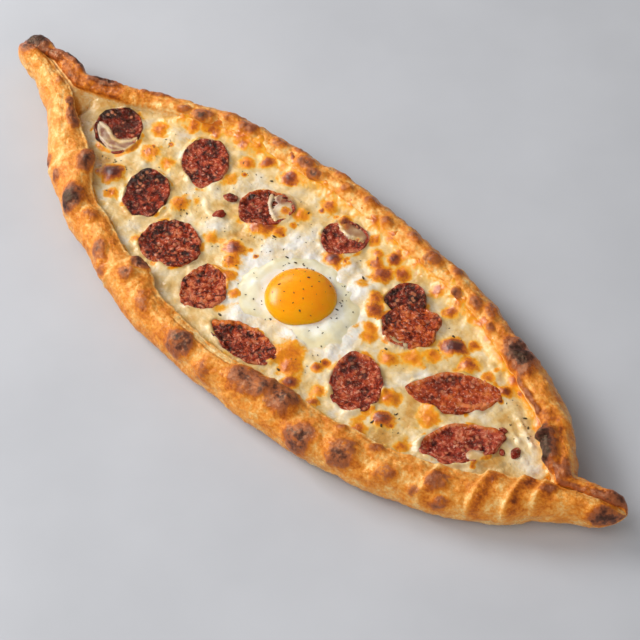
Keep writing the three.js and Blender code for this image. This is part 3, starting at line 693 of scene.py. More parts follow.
def far_rim_top(x, y):
    """The height of the far rim's inner slope, and of its lip inside that."""
    outer = spine(x) + half_width(x, FAR)
    lip = lip_line(x, FAR)
    crest = mix(outer, lip, CREST_SHARE)
    over = np.clip((y - crest) / (lip - crest), 0, 1)
    return crest_height(x, FAR) - LIP_DROP * (1 - np.sqrt(1 - over * over))


def bare_rim(x):
    """How far the far rim is bare of cheese, as it is towards both tips."""
    return smooth(-x, *BARE_LEFT) + smooth(x, *BARE_RIGHT)


def rim_film(x, y):
    """How thick the bubbled cheese lies on the far rim; where it is less than nothing the rim is bare."""
    place = flat_place(x, y)
    past = np.maximum(0, y - lip_line(x, FAR))
    return 0.1 + bubbles(place, FILM_BUBBLES, 60) - 0.22 * past - 3.5 * bare_rim(x)


def mound_rise(x, y):
    rise = np.zeros_like(x)
    for mound_x, mound_y, radius, height in MOUNDS:
        rise += height * bell(np.hypot(x - mound_x, y - mound_y), radius)
    return rise


def lap_over_slices(x, y, z, place):
    """The cheese's height where it laps over the edges of the slices and lies low under them."""
    lap = np.clip(0.4 + 3.4 * noise(place, 9, 55), 0, MOST_LAP)
    ragged = 0.12 * noise(place, 7, 56)
    for item in SLICES:
        reach = slice_reach(x, y, item)
        z = z + lap * bell(reach - 0.96, 0.13)
        z = mix(z, cheese_level(x) - UNDER_SLICE, 1 - smooth(reach + ragged, 0.78, 0.95))
    return z


def drape_away(x, y, place):
    """For each drape, how far each point lies from its line, as a share of half its width."""
    wobble = 1 + 0.2 * noise(place, 9, 53)
    return [line_distance(x, y, drape[0]) * wobble / drape[1] for drape in DRAPES]


def drape_over_slices(x, y, z, place):
    """The cheese's height with the cheese that runs over some slices."""
    tops = [np.where(slice_reach(x, y, item) < 1.05, slice_top(y, item), 0) for item in SLICES]
    bed = np.maximum(np.max(tops, axis=0), cheese_level(x) + 0.6)
    for away, (_, _, thick, _) in zip(drape_away(x, y, place), DRAPES):
        film = np.maximum(thick * (1 - away ** 2), -0.9)
        z = np.where(away < 1.25, np.maximum(z, bed + film), z)
    return z


def cheese_surface(x, y):
    """The height of the melted cheese."""
    place = flat_place(x, y)
    far_gap = lip_line(x, FAR) - y
    near_gap = y - lip_line(x, NEAR)
    z = cheese_level(x) + rough(place, CHEESE_WAVES, 50)
    low = smooth(-x, 110, 130) + 0.6 * smooth(x, 140, 160)
    z += CLIMB[FAR] * np.exp(-np.maximum(far_gap, 0) / CLIMB_REACH) * (1 - 0.8 * low)
    z += CLIMB[NEAR] * np.exp(-np.maximum(near_gap, 0) / CLIMB_REACH)
    for spot_x, spot_y, radius, dark in SPOTS:
        z += SPOT_RISE * radius * (0.2 + dark) * bell(np.hypot(x - spot_x, y - spot_y), 0.8 * radius)
    uneven = 1 + 0.6 * noise(place, 7, 57)
    for line, half, height in STRANDS:
        z += height * uneven * bell(line_distance(x, y, line), half)
    z = lap_over_slices(x, y, z, place)
    z = drape_over_slices(x, y, z, place) + mound_rise(x, y)
    z = mix(z, CHEESE_LEVEL - UNDER_EGG, 1 - smooth(egg_share(x, y), 0.6, 0.85))
    on_rim = far_rim_top(x, y) + np.maximum(rim_film(x, y), -0.7 - 2.5 * bare_rim(x))
    z = mix(on_rim, z, smooth(far_gap, -0.6, 6))
    return z - 6 * smooth(-x, -CHEESE_FROM - 8, -CHEESE_FROM) - 5 * smooth(x, CHEESE_TO - 6, CHEESE_TO)


def small_spots():
    """Small browned bubbles scattered over the cheese, as more spots."""
    spots = []
    for index in range(SMALL_SPOTS["count"]):
        x = mix(*SMALL_SPOTS["along"], chance("spot_along", index))
        y = SMALL_SPOTS["across"] * between_lips(x, math.sqrt(chance("spot_across", index)))
        if egg_share(x, y) > 1.1:
            radius = mix(*SMALL_SPOTS["radius"], chance("spot_radius", index))
            spots.append((x, y, radius, mix(*SMALL_SPOTS["dark"], chance("spot_dark", index))))
    return spots


def drape_thinness(x, y, place):
    """How far a slice shows through the cheese that runs over it."""
    thin = np.zeros_like(x)
    for away, (_, _, _, clear) in zip(drape_away(x, y, place), DRAPES):
        thin = mix(thin, clear + 0.45 * smooth(away, 0.5, 1.0), 1 - smooth(away, 1.0, 1.25))
    on_slice = np.min([slice_reach(x, y, item) for item in SLICES], axis=0)
    return np.clip(thin * (1 + 0.5 * noise(place, 4.5, 58)), 0, 1) * (1 - smooth(on_slice, 0.97, 1.1))


def spot_marks(x, y, place):
    """How golden and how brown the cheese is round its browned spots."""
    gold = np.zeros_like(x)
    brown = np.zeros_like(x)
    wobble = 1 + 0.4 * noise(place, 6, 70) + 0.2 * noise(place, 2.5, 75)
    for spot_x, spot_y, radius, dark in SPOTS + small_spots():
        out = np.hypot(x - spot_x, y - spot_y) * wobble / radius
        gold = np.maximum(gold, (1 - smooth(out, 0.2, 1.6)) * (0.75 + 0.25 * dark))
        brown = np.maximum(brown, dark * (1 - smooth(out, 0.1, 1.25)))
    return gold, brown


def cheese_masks(x, y):
    """How white, golden and brown the cheese is, less white with painted shade along the rims, and how thin
    it lies over the slices.
    """
    place = flat_place(x, y)
    far_gap = lip_line(x, FAR) - y
    near_gap = y - lip_line(x, NEAR)
    gold, brown = spot_marks(x, y, place)
    fatty = smooth(noise(place, 12, 77) + 0.4 * noise(place, 4, 78), 0, 0.6)
    for item in SLICES:
        gold = np.maximum(gold, 0.8 * fatty * bell(slice_reach(x, y, item) - 1.05, 0.12))
    bubbled = (1 - smooth(far_gap, 0, 10)) * (1 - smooth(-x, *BARE_LEFT))
    high = bubbles(place, FILM_BUBBLES[:2], 60)
    on_bubbles = bubbled * (0.48 + 0.5 * smooth(high + 0.5 * noise(place, 13, 71), 0.2, 1.1))
    in_patches = 0.5 * smooth(noise(place, 11, 74), 0.15, 0.75)
    near_rim = 0.75 * bell(near_gap - 1, 1.8) * smooth(noise(place, 14, 76), -0.3, 0.5)
    gold = np.max([gold, on_bubbles, in_patches, near_rim], axis=0)
    brown = np.maximum(brown, bubbled * smooth(high + 0.7 * noise(place, 16, 72), 0.8, 1.6) * 0.75)
    egg = 1 - smooth(egg_share(x, y), 0.95, 1.5)
    white = np.clip(0.42 + 0.5 * egg + 0.35 * noise(place, 17, 73) + 0.3 * mound_rise(x, y), 0, 1)
    # Less white, so deeper yellow, towards both lips: partly oily cheese at the rims, partly painted shade
    # where it meets them
    edge = bell(near_gap, 3) + 0.5 * bell(far_gap - 3, 3)
    thin = drape_thinness(x, y, place)
    return {"white": white - 0.4 * edge, "gold": gold, "brown": brown, "thin": thin}


def cheese_shape():
    """The cheese as a closed skin: its uneven top, and a plain underside out of sight."""
    x = np.arange(CHEESE_FROM, CHEESE_TO + CHEESE_STEP / 2, CHEESE_STEP)[:, None]
    near_edge = lip_line(x, NEAR) + CHEESE_EDGE[NEAR]
    far_edge = lip_line(x, FAR) - CHEESE_EDGE[FAR]
    across = np.linspace(0, 1, CHEESE_ACROSS)[None, :]
    climb = np.linspace(0, 1, CHEESE_CLIMB_STEPS + 1)[None, 1:]
    on_rim = far_edge + climb * (CHEESE_EDGE[FAR] + FILM_REACH)
    y = np.concatenate([mix(near_edge, far_edge, across), on_rim], axis=1)
    x = np.broadcast_to(x, y.shape)
    top = np.stack([x, y, cheese_surface(x, y)], -1)
    under = np.stack([x[:, [0, -1]], y[:, [0, -1]], np.full((len(x), 2), CHEESE_BOTTOM)], -1)
    under[:, 1, 1] -= FILM_REACH
    rings = np.concatenate([under[:, 1:], top[:, ::-1], under[:, :1]], axis=1)
    masks = {}
    for name, values in cheese_masks(x, y).items():
        masks[name] = np.pad(values[:, ::-1], [(0, 0), (1, 1)], mode="edge")
    return close_rings(rings, masks)


# The egg


def white_surface(x, y):
    """The height of the egg white, which thins out over the cheese round it."""
    share = egg_share(x, y)
    place = flat_place(x, y)
    z = CHEESE_LEVEL + WHITE_RISE * (1 - smooth(share, 0.5, 1.02)) + rough(place, WHITE_WAVES, 80)
    z += mound_rise(x, y) - 1.3 * (1 - smooth(egg_away(x, y) - YOLK_RADIUS, -1, 9))
    return mix(z, cheese_surface(x, y) - 0.35, smooth(share + 0.1 * noise(place, 8, 84), 0.8, 1.04))


def white_shape():
    """The egg white as a closed skin, from its middle out to its thin edge."""
    turn, share = np.meshgrid(full_turn(WHITE_STEPS), np.linspace(0, WHITE_OUTER, WHITE_RINGS + 1)[1:])
    round_place = np.stack([30 * np.cos(turn), 30 * np.sin(turn), 0 * turn], -1)
    uneven = 1 + 0.05 * noise(round_place, 9, 83)
    x, y = round_egg(share * uneven * white_reach(turn), turn)
    top = np.stack([x, y, white_surface(x, y)], -1)
    under = top[-1:].copy()
    under[..., 2] = WHITE_BOTTOM
    thick = 1 - smooth(egg_share(x, y), 0.55, 1.0)
    masks = {"thick": np.pad(thick, [(0, 1), (0, 0)], mode="edge")}
    return close_rings(np.concatenate([top, under]), masks)


def yolk_shape():
    """The yolk as a closed dome whose foot stands in the white."""
    turn, climb = np.meshgrid(full_turn(YOLK_STEPS), np.radians(np.linspace(*YOLK_CLIMB, YOLK_RINGS)))
    uneven = 1 + 0.012 * np.sin(2 * turn + 0.7) + 0.008 * np.sin(3 * turn)
    x, y = round_egg(YOLK_RADIUS * np.cos(climb) * uneven, turn)
    z = CHEESE_LEVEL + YOLK_BASE + YOLK_RISE * np.sin(climb)
    return close_rings(np.stack([x, y, z], -1), {})


def yolk_surface(x, y):
    share = egg_away(x, y) / YOLK_RADIUS
    return CHEESE_LEVEL + YOLK_BASE + YOLK_RISE * np.sqrt(np.maximum(0, 1 - share * share))


# Sausage


def slice_shape(item, looks, seed):
    """A slice of sausage: a dished, grainy disc with a ragged, curled edge."""
    coarse, raggedness, light, warm, rind_and_highlight = looks
    top_share = np.linspace(0.03, 0.96, SLICE_TOP_RINGS)
    side_share, side_drop = np.array(SLICE_SIDE).T
    share = np.concatenate([top_share, side_share])[:, None]
    drop = np.concatenate([0 * top_share, side_drop])[:, None]
    on_top = np.concatenate([0 * top_share + 1, 0 * side_share])[:, None]
    angle = full_turn(SLICE_STEPS)[None, :]
    reach = share * slice_outline(angle, item)
    x = reach * np.cos(angle) * item.long / 2
    y = reach * np.sin(angle) * item.short / 2
    place = np.stack([x + 100 * seed, y, 0 * x], -1)
    ragged = 1 + raggedness * (0.9 * noise(place, 8, 90) + 0.5 * noise(place, 3, 91))
    x = x * ragged
    y = y * ragged
    grain = coarse * rough(place, SLICE_GRAIN, 92)
    curl = 0.5 * smooth(share, 0.7, 0.95) * (1 + noise(place, 14, 95))
    z = SLICE_THICKNESS / 2 - drop - SLICE_CUP * (1 - smooth(share, 0.45, 0.95)) + on_top * (grain + curl)
    lean = Matrix.Rotation(math.radians(item.lean), 3, "X")
    turned = np.array(lean @ Matrix.Rotation(math.radians(item.turn), 3, "Z")).T
    points = np.stack([x, y, z], -1) @ turned
    aside = points[..., :2] @ np.array(BURNT_WAY) / (item.short / 2)
    outward = np.stack([x / item.long ** 2, y / item.short ** 2, 0 * x], -1) @ turned
    outward /= np.linalg.norm(outward, axis=-1, keepdims=True)
    # A lighter, more orange strip along the far edge: the rind's colour and a painted highlight
    faces_far = smooth(outward[..., :2] @ np.array(FAR_WAY), 0.3, 0.8)
    bright = rind_and_highlight * on_top * smooth(share, 0.74, 0.9) * faces_far
    points = points + np.array([item.x, item.y, slice_height(item)])
    pale = bell(line_distance(points[..., 0], points[..., 1], PAINTED_HIGHLIGHT_STREAK), 1.6)
    masks = {
        # Sides and outer rim of the slice, which the finish paints lighter: painted light over the shade on
        # the sides
        "edge": 1 - on_top * (1 - smooth(share, 0.82, 1.0)) + 0 * x,
        "burnt": smooth(aside + 0.5 * noise(place, 9, 96), 0.25, 1.0) * (1 - np.minimum(1, bright)),
        # Each slice's own tone, with the painted highlights of the far edge and of the streak added
        "light": light + 0.27 * bright + 0.45 * pale,
        "coarse": np.full(x.shape, min(1, 0.25 + 0.55 * coarse)),
        "warm": np.clip(warm + 0.35 * noise(place, 8, 97) + bright, 0, 1),
    }
    return close_rings(points, masks)


def height_at(surface, x, y):
    return float(surface(np.array([float(x)]), np.array([float(y)]))[0])


def crumb_shape():
    """Crumbs of sausage that lie in the cheese, as one joined mesh of small lumps."""
    shapes = []
    for index, (x, y, radius) in enumerate(CRUMBS):
        place = (x, y, height_at(cheese_surface, x, y))
        half_sizes = [radius * size for size in CRUMB_FORM]
        turn = 30 + 40 * index
        shapes.append(lump_shape(place, half_sizes, turn, 100 + index, CRUMB_STEPS, CRUMB_UNEVEN))
    return join_shapes(shapes)


def lump_shape(middle, half_sizes, turn, seed, steps, uneven):
    """A closed, uneven lump with its middle at a place; its steps are those round it and those up it."""
    climb_steps = np.radians(np.linspace(LUMP_CLIMB, -LUMP_CLIMB, steps[1]))
    angle, climb = np.meshgrid(full_turn(steps[0]), climb_steps)
    ball = np.stack([np.cos(climb) * np.cos(angle), np.cos(climb) * np.sin(angle), np.sin(climb)], -1)
    ball = ball * (1 + uneven * noise(ball + 7 * seed, 0.6, seed))[..., None]
    spin = np.array(Matrix.Rotation(math.radians(turn), 3, "Z"))
    return close_rings(ball * half_sizes @ spin.T + np.array(middle), {})


def join_shapes(shapes):
    """Several closed skins as one list of points and faces."""
    points, faces, start = [], [], 0
    for shape_points, shape_faces, _ in shapes:
        faces += [[corner + start for corner in face] for face in shape_faces]
        points.append(shape_points)
        start += len(shape_points)
    return np.concatenate(points), faces, {}


# Pepper: how many flecks lie on the cheese, the white and the yolk, the half length of large and small ones,
# and which are large: the first ones on the cheese, and one of every so many on the egg
PEPPER = {
    "cheese": {"count": 150, "large": 0.75, "small": 0.38, "first": 22},
    "white": {"count": 70, "large": 0.7, "small": 0.42, "every": 8},
    "yolk": {"count": 30, "large": 0.6, "small": 0.36, "every": 6},
}
FLECK_SPAN = {"along": (-150, 165), "across": 0.8}
FLECK_FORM = (1.2, 0.6, 0.45)
FLECK_VARIETY = (0.7, 1.6)
FLECK_STEPS = (6, 4)
FLECK_UNEVEN = 0.5
FLECK_SEEDS = 17
FLECK_MARGIN = 3
GOLDEN_TURN = 2.4
# Where the draws of each kind start
DRAWS = {
    "fleck_along": 0, "fleck_turn": 500, "fleck_across": 1000, "white_angle": 2000, "white_away": 3000,
    "fleck_size": 4000, "spot_along": 6000, "spot_across": 7000, "spot_radius": 8000, "spot_dark": 9000,
}


def chance(kind, index):
    """A repeatable number from 0 to 1 for each draw of a kind."""
    value = math.sin((index + DRAWS[kind]) * 12.9898 + 4.1414) * 43758.5453
    return value - math.floor(value)


def between_lips(x, share):
    """A place across the hollow, as a share of the way from the near lip to the far one."""
    lips = [float(lip_line(np.float64(x), side)) for side in (NEAR, FAR)]
    return mix(*lips, share)


def clear_of_toppings(x, y):
    """Whether a fleck at a place lies clear of the slices, the crumbs and the egg."""
    for middle_x, middle_y, radius in [(item.x, item.y, item.long / 2) for item in SLICES] + CRUMBS:
        if math.hypot(x - middle_x, y - middle_y) <= radius + FLECK_MARGIN:
            return False
    return egg_away(x, y) > egg_edge(x, y) + FLECK_MARGIN


def pepper_places():
    """Where flecks of pepper lie: place, surface and half length. The large ones are in the solids too."""
    places = []
    index = 0
    kind = PEPPER["cheese"]
    while len(places) < kind["count"]:
        x = mix(*FLECK_SPAN["along"], chance("fleck_along", index))
        y = FLECK_SPAN["across"] * between_lips(x, chance("fleck_across", index))
        if clear_of_toppings(x, y):
            places.append((x, y, cheese_surface, kind["large" if len(places) < kind["first"] else "small"]))
        index += 1
    kind = PEPPER["white"]
    for index in range(kind["count"]):
        angle = GOLDEN_TURN * index + chance("white_angle", index)
        away = mix(YOLK_RADIUS + 1.5, 1.02 * white_reach(angle), chance("white_away", index) ** 1.4)
        size = kind["small" if index % kind["every"] else "large"]
        places.append((*round_egg(away, angle), white_surface, size))
    kind = PEPPER["yolk"]
    for index in range(kind["count"]):
        away = 0.93 * YOLK_RADIUS * math.sqrt((index + 0.5) / kind["count"])
        size = kind["small" if index % kind["every"] else "large"]
        places.append((*round_egg(away, GOLDEN_TURN * index), yolk_surface, size))
    return places


def pepper_shape():
    """All flecks of pepper as one joined mesh."""
    shapes = []
    for index, (x, y, surface, size) in enumerate(pepper_places()):
        place = (x, y, height_at(surface, x, y))
        size *= mix(*FLECK_VARIETY, chance("fleck_size", index))
        half_sizes = [size * form for form in FLECK_FORM]
        turn = 360 * chance("fleck_turn", index)
        shapes.append(lump_shape(place, half_sizes, turn, index % FLECK_SEEDS, FLECK_STEPS, FLECK_UNEVEN))
    return join_shapes(shapes)


# Finishes. Colours run from 0 to 255; those of a ramp stand after the value that they belong to
NOISE_SPAN = (0.3, 0.7)
BAKED_RAMP = [
    (0.05, (247, 220, 166)), (0.22, (239, 190, 116)), (0.38, (230, 151, 62)), (0.52, (216, 124, 32)),
    (0.68, (182, 90, 18)), (0.84, (134, 58, 16)), (1.0, (94, 38, 16)),
]
SOOT_RAMP = [(0.3, (26, 12, 10)), (0.55, (60, 32, 25)), (0.8, (124, 80, 68))]
TOASTED_CRUST = (156, 86, 54)
DARK_CRUST = (88, 47, 38)
CRUST_GLOSS = (255, 224, 168)
CREAM_RAMP = [
    (0.0, (200, 144, 64)), (0.25, (219, 180, 112)), (0.5, (228, 200, 148)), (0.75, (231, 214, 184)),
    (1.0, (234, 227, 215)),
]
GOLD_RAMP = [(0.2, (237, 193, 76)), (0.5, (234, 155, 14)), (0.75, (226, 129, 0)), (1.0, (198, 98, 0))]
BROWN_CHEESE = (164, 72, 16)
DARK_CHEESE = (88, 34, 20)
MEAT_UNDER_CHEESE = (126, 64, 46)
WHITE_RAMP = [
    (0.0, (226, 211, 168)), (0.4, (230, 221, 188)), (0.75, (234, 227, 200)), (1.0, (238, 234, 218)),
]
YOLK_RAMP = [(0.3, (250, 150, 0)), (0.7, (255, 172, 2))]
RED_MEAT_RAMP = [
    (0.1, (24, 4, 4)), (0.3, (74, 14, 10)), (0.5, (140, 38, 24)), (0.66, (184, 70, 46)),
    (0.85, (214, 128, 96)),
]
ORANGE_MEAT_RAMP = [
    (0.1, (34, 6, 3)), (0.3, (90, 20, 5)), (0.5, (156, 48, 12)), (0.66, (194, 78, 24)),
    (0.85, (222, 122, 50)),
]
MEAT_FAT = (214, 130, 88)
# Painted glints: light specks on the meat that stand in for wet highlights
PAINTED_MEAT_GLINTS = (236, 172, 142)
MEAT_GLOSS = (255, 214, 176)
PEPPER_RAMP = [(0.35, (34, 26, 16)), (0.7, (104, 82, 44))]
FLOOR_RAMP = [(0.3, (182, 183, 187)), (0.7, (191, 192, 196))]


class Finish:
    """A material whose colours, gloss and fine relief come from procedural nodes."""

    def __init__(self, name, constants):
        self.material = bpy.data.materials.new(name)
        self.material.use_nodes = True
        self.tree = self.material.node_tree
        self.shader = self.tree.nodes["Principled BSDF"]
        for socket, value in constants.items():
            self.shader.inputs[socket].default_value = value
        self.place = self.add("ShaderNodeTexCoord", {}).outputs["Object"]

    def add(self, kind, inputs, **settings):
        """A new node with its settings, and its inputs set or linked."""
        node = self.tree.nodes.new(kind)
        for key, value in settings.items():
            setattr(node, key, value)
        for name, value in inputs.items():
            self.feed(node.inputs[name], value)
        return node

    def feed(self, socket, value):
        if isinstance(value, bpy.types.NodeSocket):
            self.tree.links.new(value, socket)
        else:
            socket.default_value = value

    def mask(self, name, output="Fac"):
        return self.add("ShaderNodeAttribute", {}, attribute_name=name).outputs[output]

    def noise(self, size, detail, place=None, roughness=0.55, distortion=0.0):
        inputs = {
            "Vector": place or self.place, "Scale": 1 / (size * MM), "Detail": detail,
            "Roughness": roughness, "Distortion": distortion,
        }
        return self.add("ShaderNodeTexNoise", inputs).outputs["Fac"]

    def cells(self, size, output):
        inputs = {"Vector": self.place, "Scale": 1 / (size * MM)}
        return self.add("ShaderNodeTexVoronoi", inputs).outputs[output]

    def plus(self, a, b, clamp=False):
        return self.add("ShaderNodeMath", {0: a, 1: b}, operation="ADD", use_clamp=clamp).outputs[0]

    def times(self, a, b):
        return self.add("ShaderNodeMath", {0: a, 1: b}, operation="MULTIPLY").outputs[0]

    def stretch(self, place, scale):
        return self.add("ShaderNodeVectorMath", {0: place, 1: scale}, operation="MULTIPLY").outputs[0]

    def span(self, value, low, high, to_low=0.0, to_high=1.0):
        """Maps a value from one span to another, with soft ends."""
        inputs = {"Value": value, "From Min": low, "From Max": high, "To Min": to_low, "To Max": to_high}
        return self.add("ShaderNodeMapRange", inputs, interpolation_type="SMOOTHSTEP").outputs[0]

    def vary(self, value, noise, amount, clamp=False):
        """Raises and lowers a value by noise, by an amount either way."""
        return self.plus(value, self.span(noise, *NOISE_SPAN, -amount, amount), clamp)

    def blend(self, share, under, over):
        """Lays a colour, or what a node gives, over another by a share."""
        over = srgb(*over) if isinstance(over, tuple) else over
        return self.add("ShaderNodeMix", {0: share, 6: under, 7: over}, data_type="RGBA").outputs[2]

    def ramp(self, value, stops):
        node = self.add("ShaderNodeValToRGB", {0: value})
        band = node.color_ramp
        while len(band.elements) < len(stops):
            band.elements.new(0.5)
        for element, (place, colour) in zip(band.elements, stops):
            element.position = place
            element.color = srgb(*colour)
        return node.outputs[0]

    def bump(self, height, distance, strength):
        inputs = {"Strength": strength, "Distance": distance * MM, "Height": height}
        normal = self.add("ShaderNodeBump", inputs).outputs[0]
        for socket in ("Normal", "Coat Normal"):
            self.feed(self.shader.inputs[socket], normal)

    def done(self, colour, noise, smoothest, roughest):
        """The material with its colour, and with a roughness that follows noise."""
        self.feed(self.shader.inputs["Base Color"], colour)
        self.feed(self.shader.inputs["Roughness"], self.span(noise, *NOISE_SPAN, smoothest, roughest))
        return self.material


def crust_finish():
    look = Finish("baked_crust", {"Specular Tint": srgb(*CRUST_GLOSS)})
    streaks = look.noise(4, 4, look.stretch(look.mask("rim", "Vector"), (0.45, 1, 1)))
    mottle = look.noise(7, 5, roughness=0.6)
    flecks = look.noise(1.4, 3, roughness=0.6)
    blotches = look.noise(3.4, 4, roughness=0.6)
    wrinkles = look.noise(2.6, 5, roughness=0.62, distortion=0.7)
    bake_and_painted_light = look.vary(look.vary(look.mask("bake_and_painted_light"), streaks, 0.06), mottle, 0.09)
    baked = look.ramp(look.vary(bake_and_painted_light, flecks, -0.09, clamp=True), BAKED_RAMP)
    mask = look.mask("char")
    uneven = look.times(mask, look.span(blotches, *NOISE_SPAN, -0.45, 0.4))
    uneven = look.vary(look.vary(uneven, mottle, 0.16), flecks, 0.12)
    char = look.plus(mask, look.times(uneven, look.span(mask, 0.8, 1.15, 1.0, 0.4)))
    toasted = look.blend(look.times(look.span(char, 0.15, 0.5), 0.85), baked, TOASTED_CRUST)
    darkened = look.blend(look.span(char, 0.48, 0.95), toasted, DARK_CRUST)
    colour = look.blend(look.span(char, 0.92, 1.15), darkened, look.ramp(flecks, SOOT_RAMP))
    look.feed(look.shader.inputs["Specular IOR Level"], look.span(char, 0.7, 1.1, 0.6, 0.35))
    look.bump(look.plus(look.times(streaks, 0.6), wrinkles), 1.2, 0.75)
    return look.done(colour, mottle, 0.24, 0.42)


def cheese_finish():
    look = Finish("melted_cheese", {
        "Subsurface Weight": 0.12, "Subsurface Radius": (1.0, 0.7, 0.35), "Subsurface Scale": 2.5 * MM,
        "Specular IOR Level": 0.5, "Coat Weight": 0.25, "Coat Roughness": 0.12,
    })
    patches = look.noise(9, 4)
    fine = look.noise(2, 5, roughness=0.6)
    white = look.vary(look.mask("white"), patches, 0.24)
    cream = look.ramp(look.vary(white, fine, 0.06, clamp=True), CREAM_RAMP)
    gold = look.vary(look.vary(look.mask("gold"), patches, 0.12), fine, 0.1)
    golden = look.blend(look.span(gold, 0.14, 0.52), cream, look.ramp(gold, GOLD_RAMP))
    brown = look.vary(look.mask("brown"), fine, 0.14)
    browned = look.blend(look.span(brown, 0.2, 0.7), golden, BROWN_CHEESE)
    darkened = look.blend(look.span(brown, 0.58, 1.0), browned, DARK_CHEESE)
    colour = look.blend(look.times(look.mask("thin"), 0.9), darkened, MEAT_UNDER_CHEESE)
    look.bump(look.plus(fine, look.times(patches, 1.5)), 0.8, 0.65)
    return look.done(colour, patches, 0.12, 0.3)


def white_finish():
    look = Finish("egg_white_set", {
        "Subsurface Weight": 0.2, "Subsurface Radius": (1.0, 0.9, 0.7), "Subsurface Scale": 3 * MM,
        "Specular IOR Level": 0.5,
    })
    patches = look.noise(8, 4)
    colour = look.ramp(look.vary(look.mask("thick"), patches, 0.4, clamp=True), WHITE_RAMP)
    look.bump(look.plus(look.noise(2.2, 3), patches), 0.4, 0.3)
    return look.done(colour, patches, 0.14, 0.28)


def yolk_finish():
    look = Finish("egg_yolk_set", {
        "Subsurface Weight": 0.85, "Subsurface Radius": (1.0, 0.4, 0.02), "Subsurface Scale": 10 * MM,
        "Specular IOR Level": 0.3,
    })
    patches = look.noise(16, 2)
    look.bump(look.noise(1.4, 2), 0.12, 0.25)
    return look.done(look.ramp(patches, YOLK_RAMP), patches, 0.24, 0.32)


def sausage_finish():
    look = Finish("sausage_meat", {
        "Specular IOR Level": 0.3, "Specular Tint": srgb(*MEAT_GLOSS), "Coat Weight": 0.15,
        "Coat Roughness": 0.08,
    })
    meat = look.noise(3.6, 6, roughness=0.7, distortion=0.8)
    patches = look.noise(8, 3)
    specks = look.noise(1.5, 3, roughness=0.6, distortion=0.6)
    grain = look.cells(2.6, "Distance")
    picks = look.cells(2.6, "Color")
    coarse = look.times(look.span(meat, 0.28, 0.72, -0.4, 0.4), look.mask("coarse"))
    shade = look.plus(look.plus(coarse, 0.5), look.mask("light"))
    shade = look.plus(shade, look.span(patches, *NOISE_SPAN, -0.16, 0.14))
    # Lighter sides and outer rim: painted light over the shade that falls on the sides, as painted glints
    shade = look.plus(shade, look.times(look.mask("edge"), 0.09))
    shade = look.plus(shade, look.times(look.mask("burnt"), -0.2), clamp=True)
    red = look.ramp(shade, RED_MEAT_RAMP)
    mixed = look.blend(look.mask("warm"), red, look.ramp(shade, ORANGE_MEAT_RAMP))
    fat = look.times(look.span(picks, 0.55, 0.72), look.span(grain, 0.5, 0.25))
    fatty = look.blend(look.times(fat, 0.7), mixed, MEAT_FAT)
    # Small light specks, more of them on lighter meat: painted glints
    bright = look.times(look.span(specks, 0.56, 0.67), look.span(shade, 0.25, 0.55, 0.15, 0.8))
    look.bump(look.plus(meat, look.times(grain, -0.5)), 2.4, 1.0)
    return look.done(look.blend(bright, fatty, PAINTED_MEAT_GLINTS), meat, 0.1, 0.24)


def pepper_finish():
    look = Finish("ground_pepper", {"Specular IOR Level": 0.3})
    specks = look.noise(0.6, 2)
    look.bump(specks, 0.1, 0.5)
    return look.done(look.ramp(specks, PEPPER_RAMP), specks, 0.5, 0.75)


def floor_finish():
    look = Finish("pale_floor", {"Specular IOR Level": 0.2})
    clouds = look.noise(120, 4)
    return look.done(look.ramp(clouds, FLOOR_RAMP), clouds, 0.6, 0.75)


# Pieces


def add_object(name, data):
    added = bpy.data.objects.new(name, data)
    bpy.context.scene.collection.objects.link(added)
    return added


def make_piece(name, shape, material, node=None):
    """A piece from its points, faces and masks, that rides on the bread and may replace a solid."""
    points, faces, masks = shape
    mesh = bpy.data.meshes.new(name)
    mesh.from_pydata((points * MM).tolist(), [], faces)
    for mask, values in masks.items():
        is_place = values.shape[1] == 3
        kind, field, scale = ("FLOAT_VECTOR", "vector", MM) if is_place else ("FLOAT", "value", 1)
        layer = mesh.attributes.new(mask, kind, "POINT")
        layer.data.foreach_set(field, (values * scale).astype(np.float32).ravel())
    mesh.shade_smooth()
    mesh.materials.append(material)
    piece = add_object(name, mesh)
    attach(piece, "root")
    if node:
        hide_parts(node)


make_piece("baked_crust", crust_shape(), crust_finish(), "crust")
make_piece("melted_cheese", cheese_shape(), cheese_finish(), "cheese")
make_piece("set_egg_white", white_shape(), white_finish(), "egg_white")
make_piece("set_egg_yolk", yolk_shape(), yolk_finish(), "egg_yolk")
meat = sausage_finish()
for number, (slice_item, slice_looks) in enumerate(zip(SLICES, SLICE_LOOKS), start=1):
    slice_form = slice_shape(slice_item, slice_looks, number)
    make_piece(f"slice_{number:02d}", slice_form, meat, f"sausage_{number:02d}")
make_piece("sausage_crumbs", crumb_shape(), meat)
make_piece("pepper_flecks", pepper_shape(), pepper_finish())

# Stage: floor, light and camera
FLOOR_HALF = 3000
VIEW_AZIMUTH = 46.5
VIEW_ELEVATION = 51
VIEW_DISTANCE = 1500
VIEW_TARGET = (24.0, 3.4, 0.0)
VIEW_FOCAL_PIXELS = 2860.5
IMAGE_PIXELS = 640
SENSOR_WIDTH = 36
WORLD_COLOUR = (1, 1, 1, 1)
WORLD_STRENGTH = 0.29
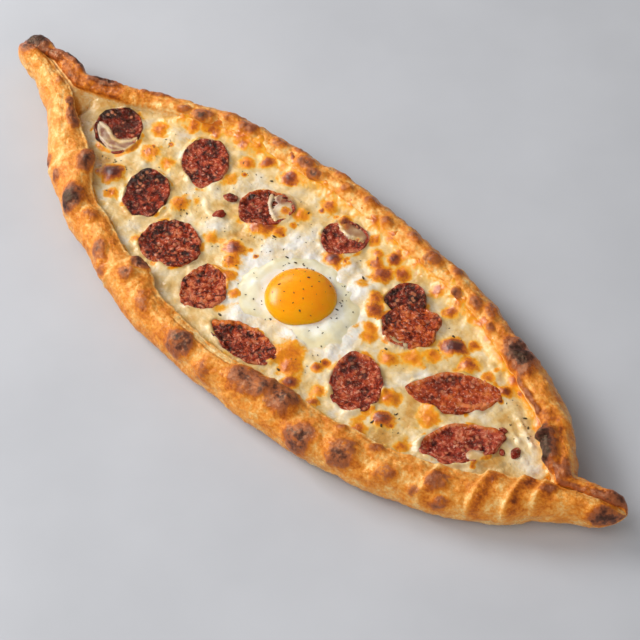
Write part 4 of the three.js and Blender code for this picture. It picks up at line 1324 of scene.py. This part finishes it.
# Lights: name, place, width and height, power, whether one lights matt surfaces and whether gloss mirrors it
LIGHTS = [
    ("window", (-1320, -420, 820), (900, 600), 28, True, True),
    ("fill", (-300, -1000, 1300), (1200, 1200), 9, True, False),
    ("bounce", (1000, -700, 500), (1000, 600), 4.6, True, False),
    ("gleam", (-1310, 590, 690), (450, 300), 2, False, True),
]


def make_floor():
    half = FLOOR_HALF * MM
    corners = [(-half, -half, 0), (half, -half, 0), (half, half, 0), (-half, half, 0)]
    mesh = bpy.data.meshes.new("floor")
    mesh.from_pydata(corners, [], [(0, 1, 2, 3)])
    mesh.materials.append(floor_finish())
    floor = add_object("floor", mesh)


def make_lights():
    for name, place, size, power, lit, mirrored in LIGHTS:
        light = bpy.data.lights.new(name, "AREA")
        light.shape = "RECTANGLE"
        light.size = size[0] * MM
        light.size_y = size[1] * MM
        light.energy = power
        lamp = add_object(name, light)
        lamp.visible_diffuse = lit
        lamp.visible_glossy = mirrored
        lamp.location = Vector(place) * MM
        lamp.rotation_euler = (-lamp.location).to_track_quat("-Z", "Y").to_euler()
    world = bpy.data.worlds.new("studio")
    world.use_nodes = True
    background = world.node_tree.nodes["Background"]
    background.inputs["Color"].default_value = WORLD_COLOUR
    background.inputs["Strength"].default_value = WORLD_STRENGTH
    bpy.context.scene.world = world
    bpy.context.scene.view_settings.view_transform = "Standard"


def make_camera():
    lens = bpy.data.cameras.new("camera")
    lens.sensor_width = SENSOR_WIDTH
    lens.lens = VIEW_FOCAL_PIXELS * SENSOR_WIDTH / IMAGE_PIXELS
    turn, climb = math.radians(VIEW_AZIMUTH), math.radians(VIEW_ELEVATION)
    back = Vector((math.sin(turn) * math.cos(climb), -math.cos(turn) * math.cos(climb), math.sin(climb)))
    camera = add_object("camera", lens)
    camera.location = (Vector(VIEW_TARGET) + back * VIEW_DISTANCE) * MM
    camera.rotation_euler = (-back).to_track_quat("-Z", "Y").to_euler()
    bpy.context.scene.camera = camera


make_floor()
make_lights()
make_camera()
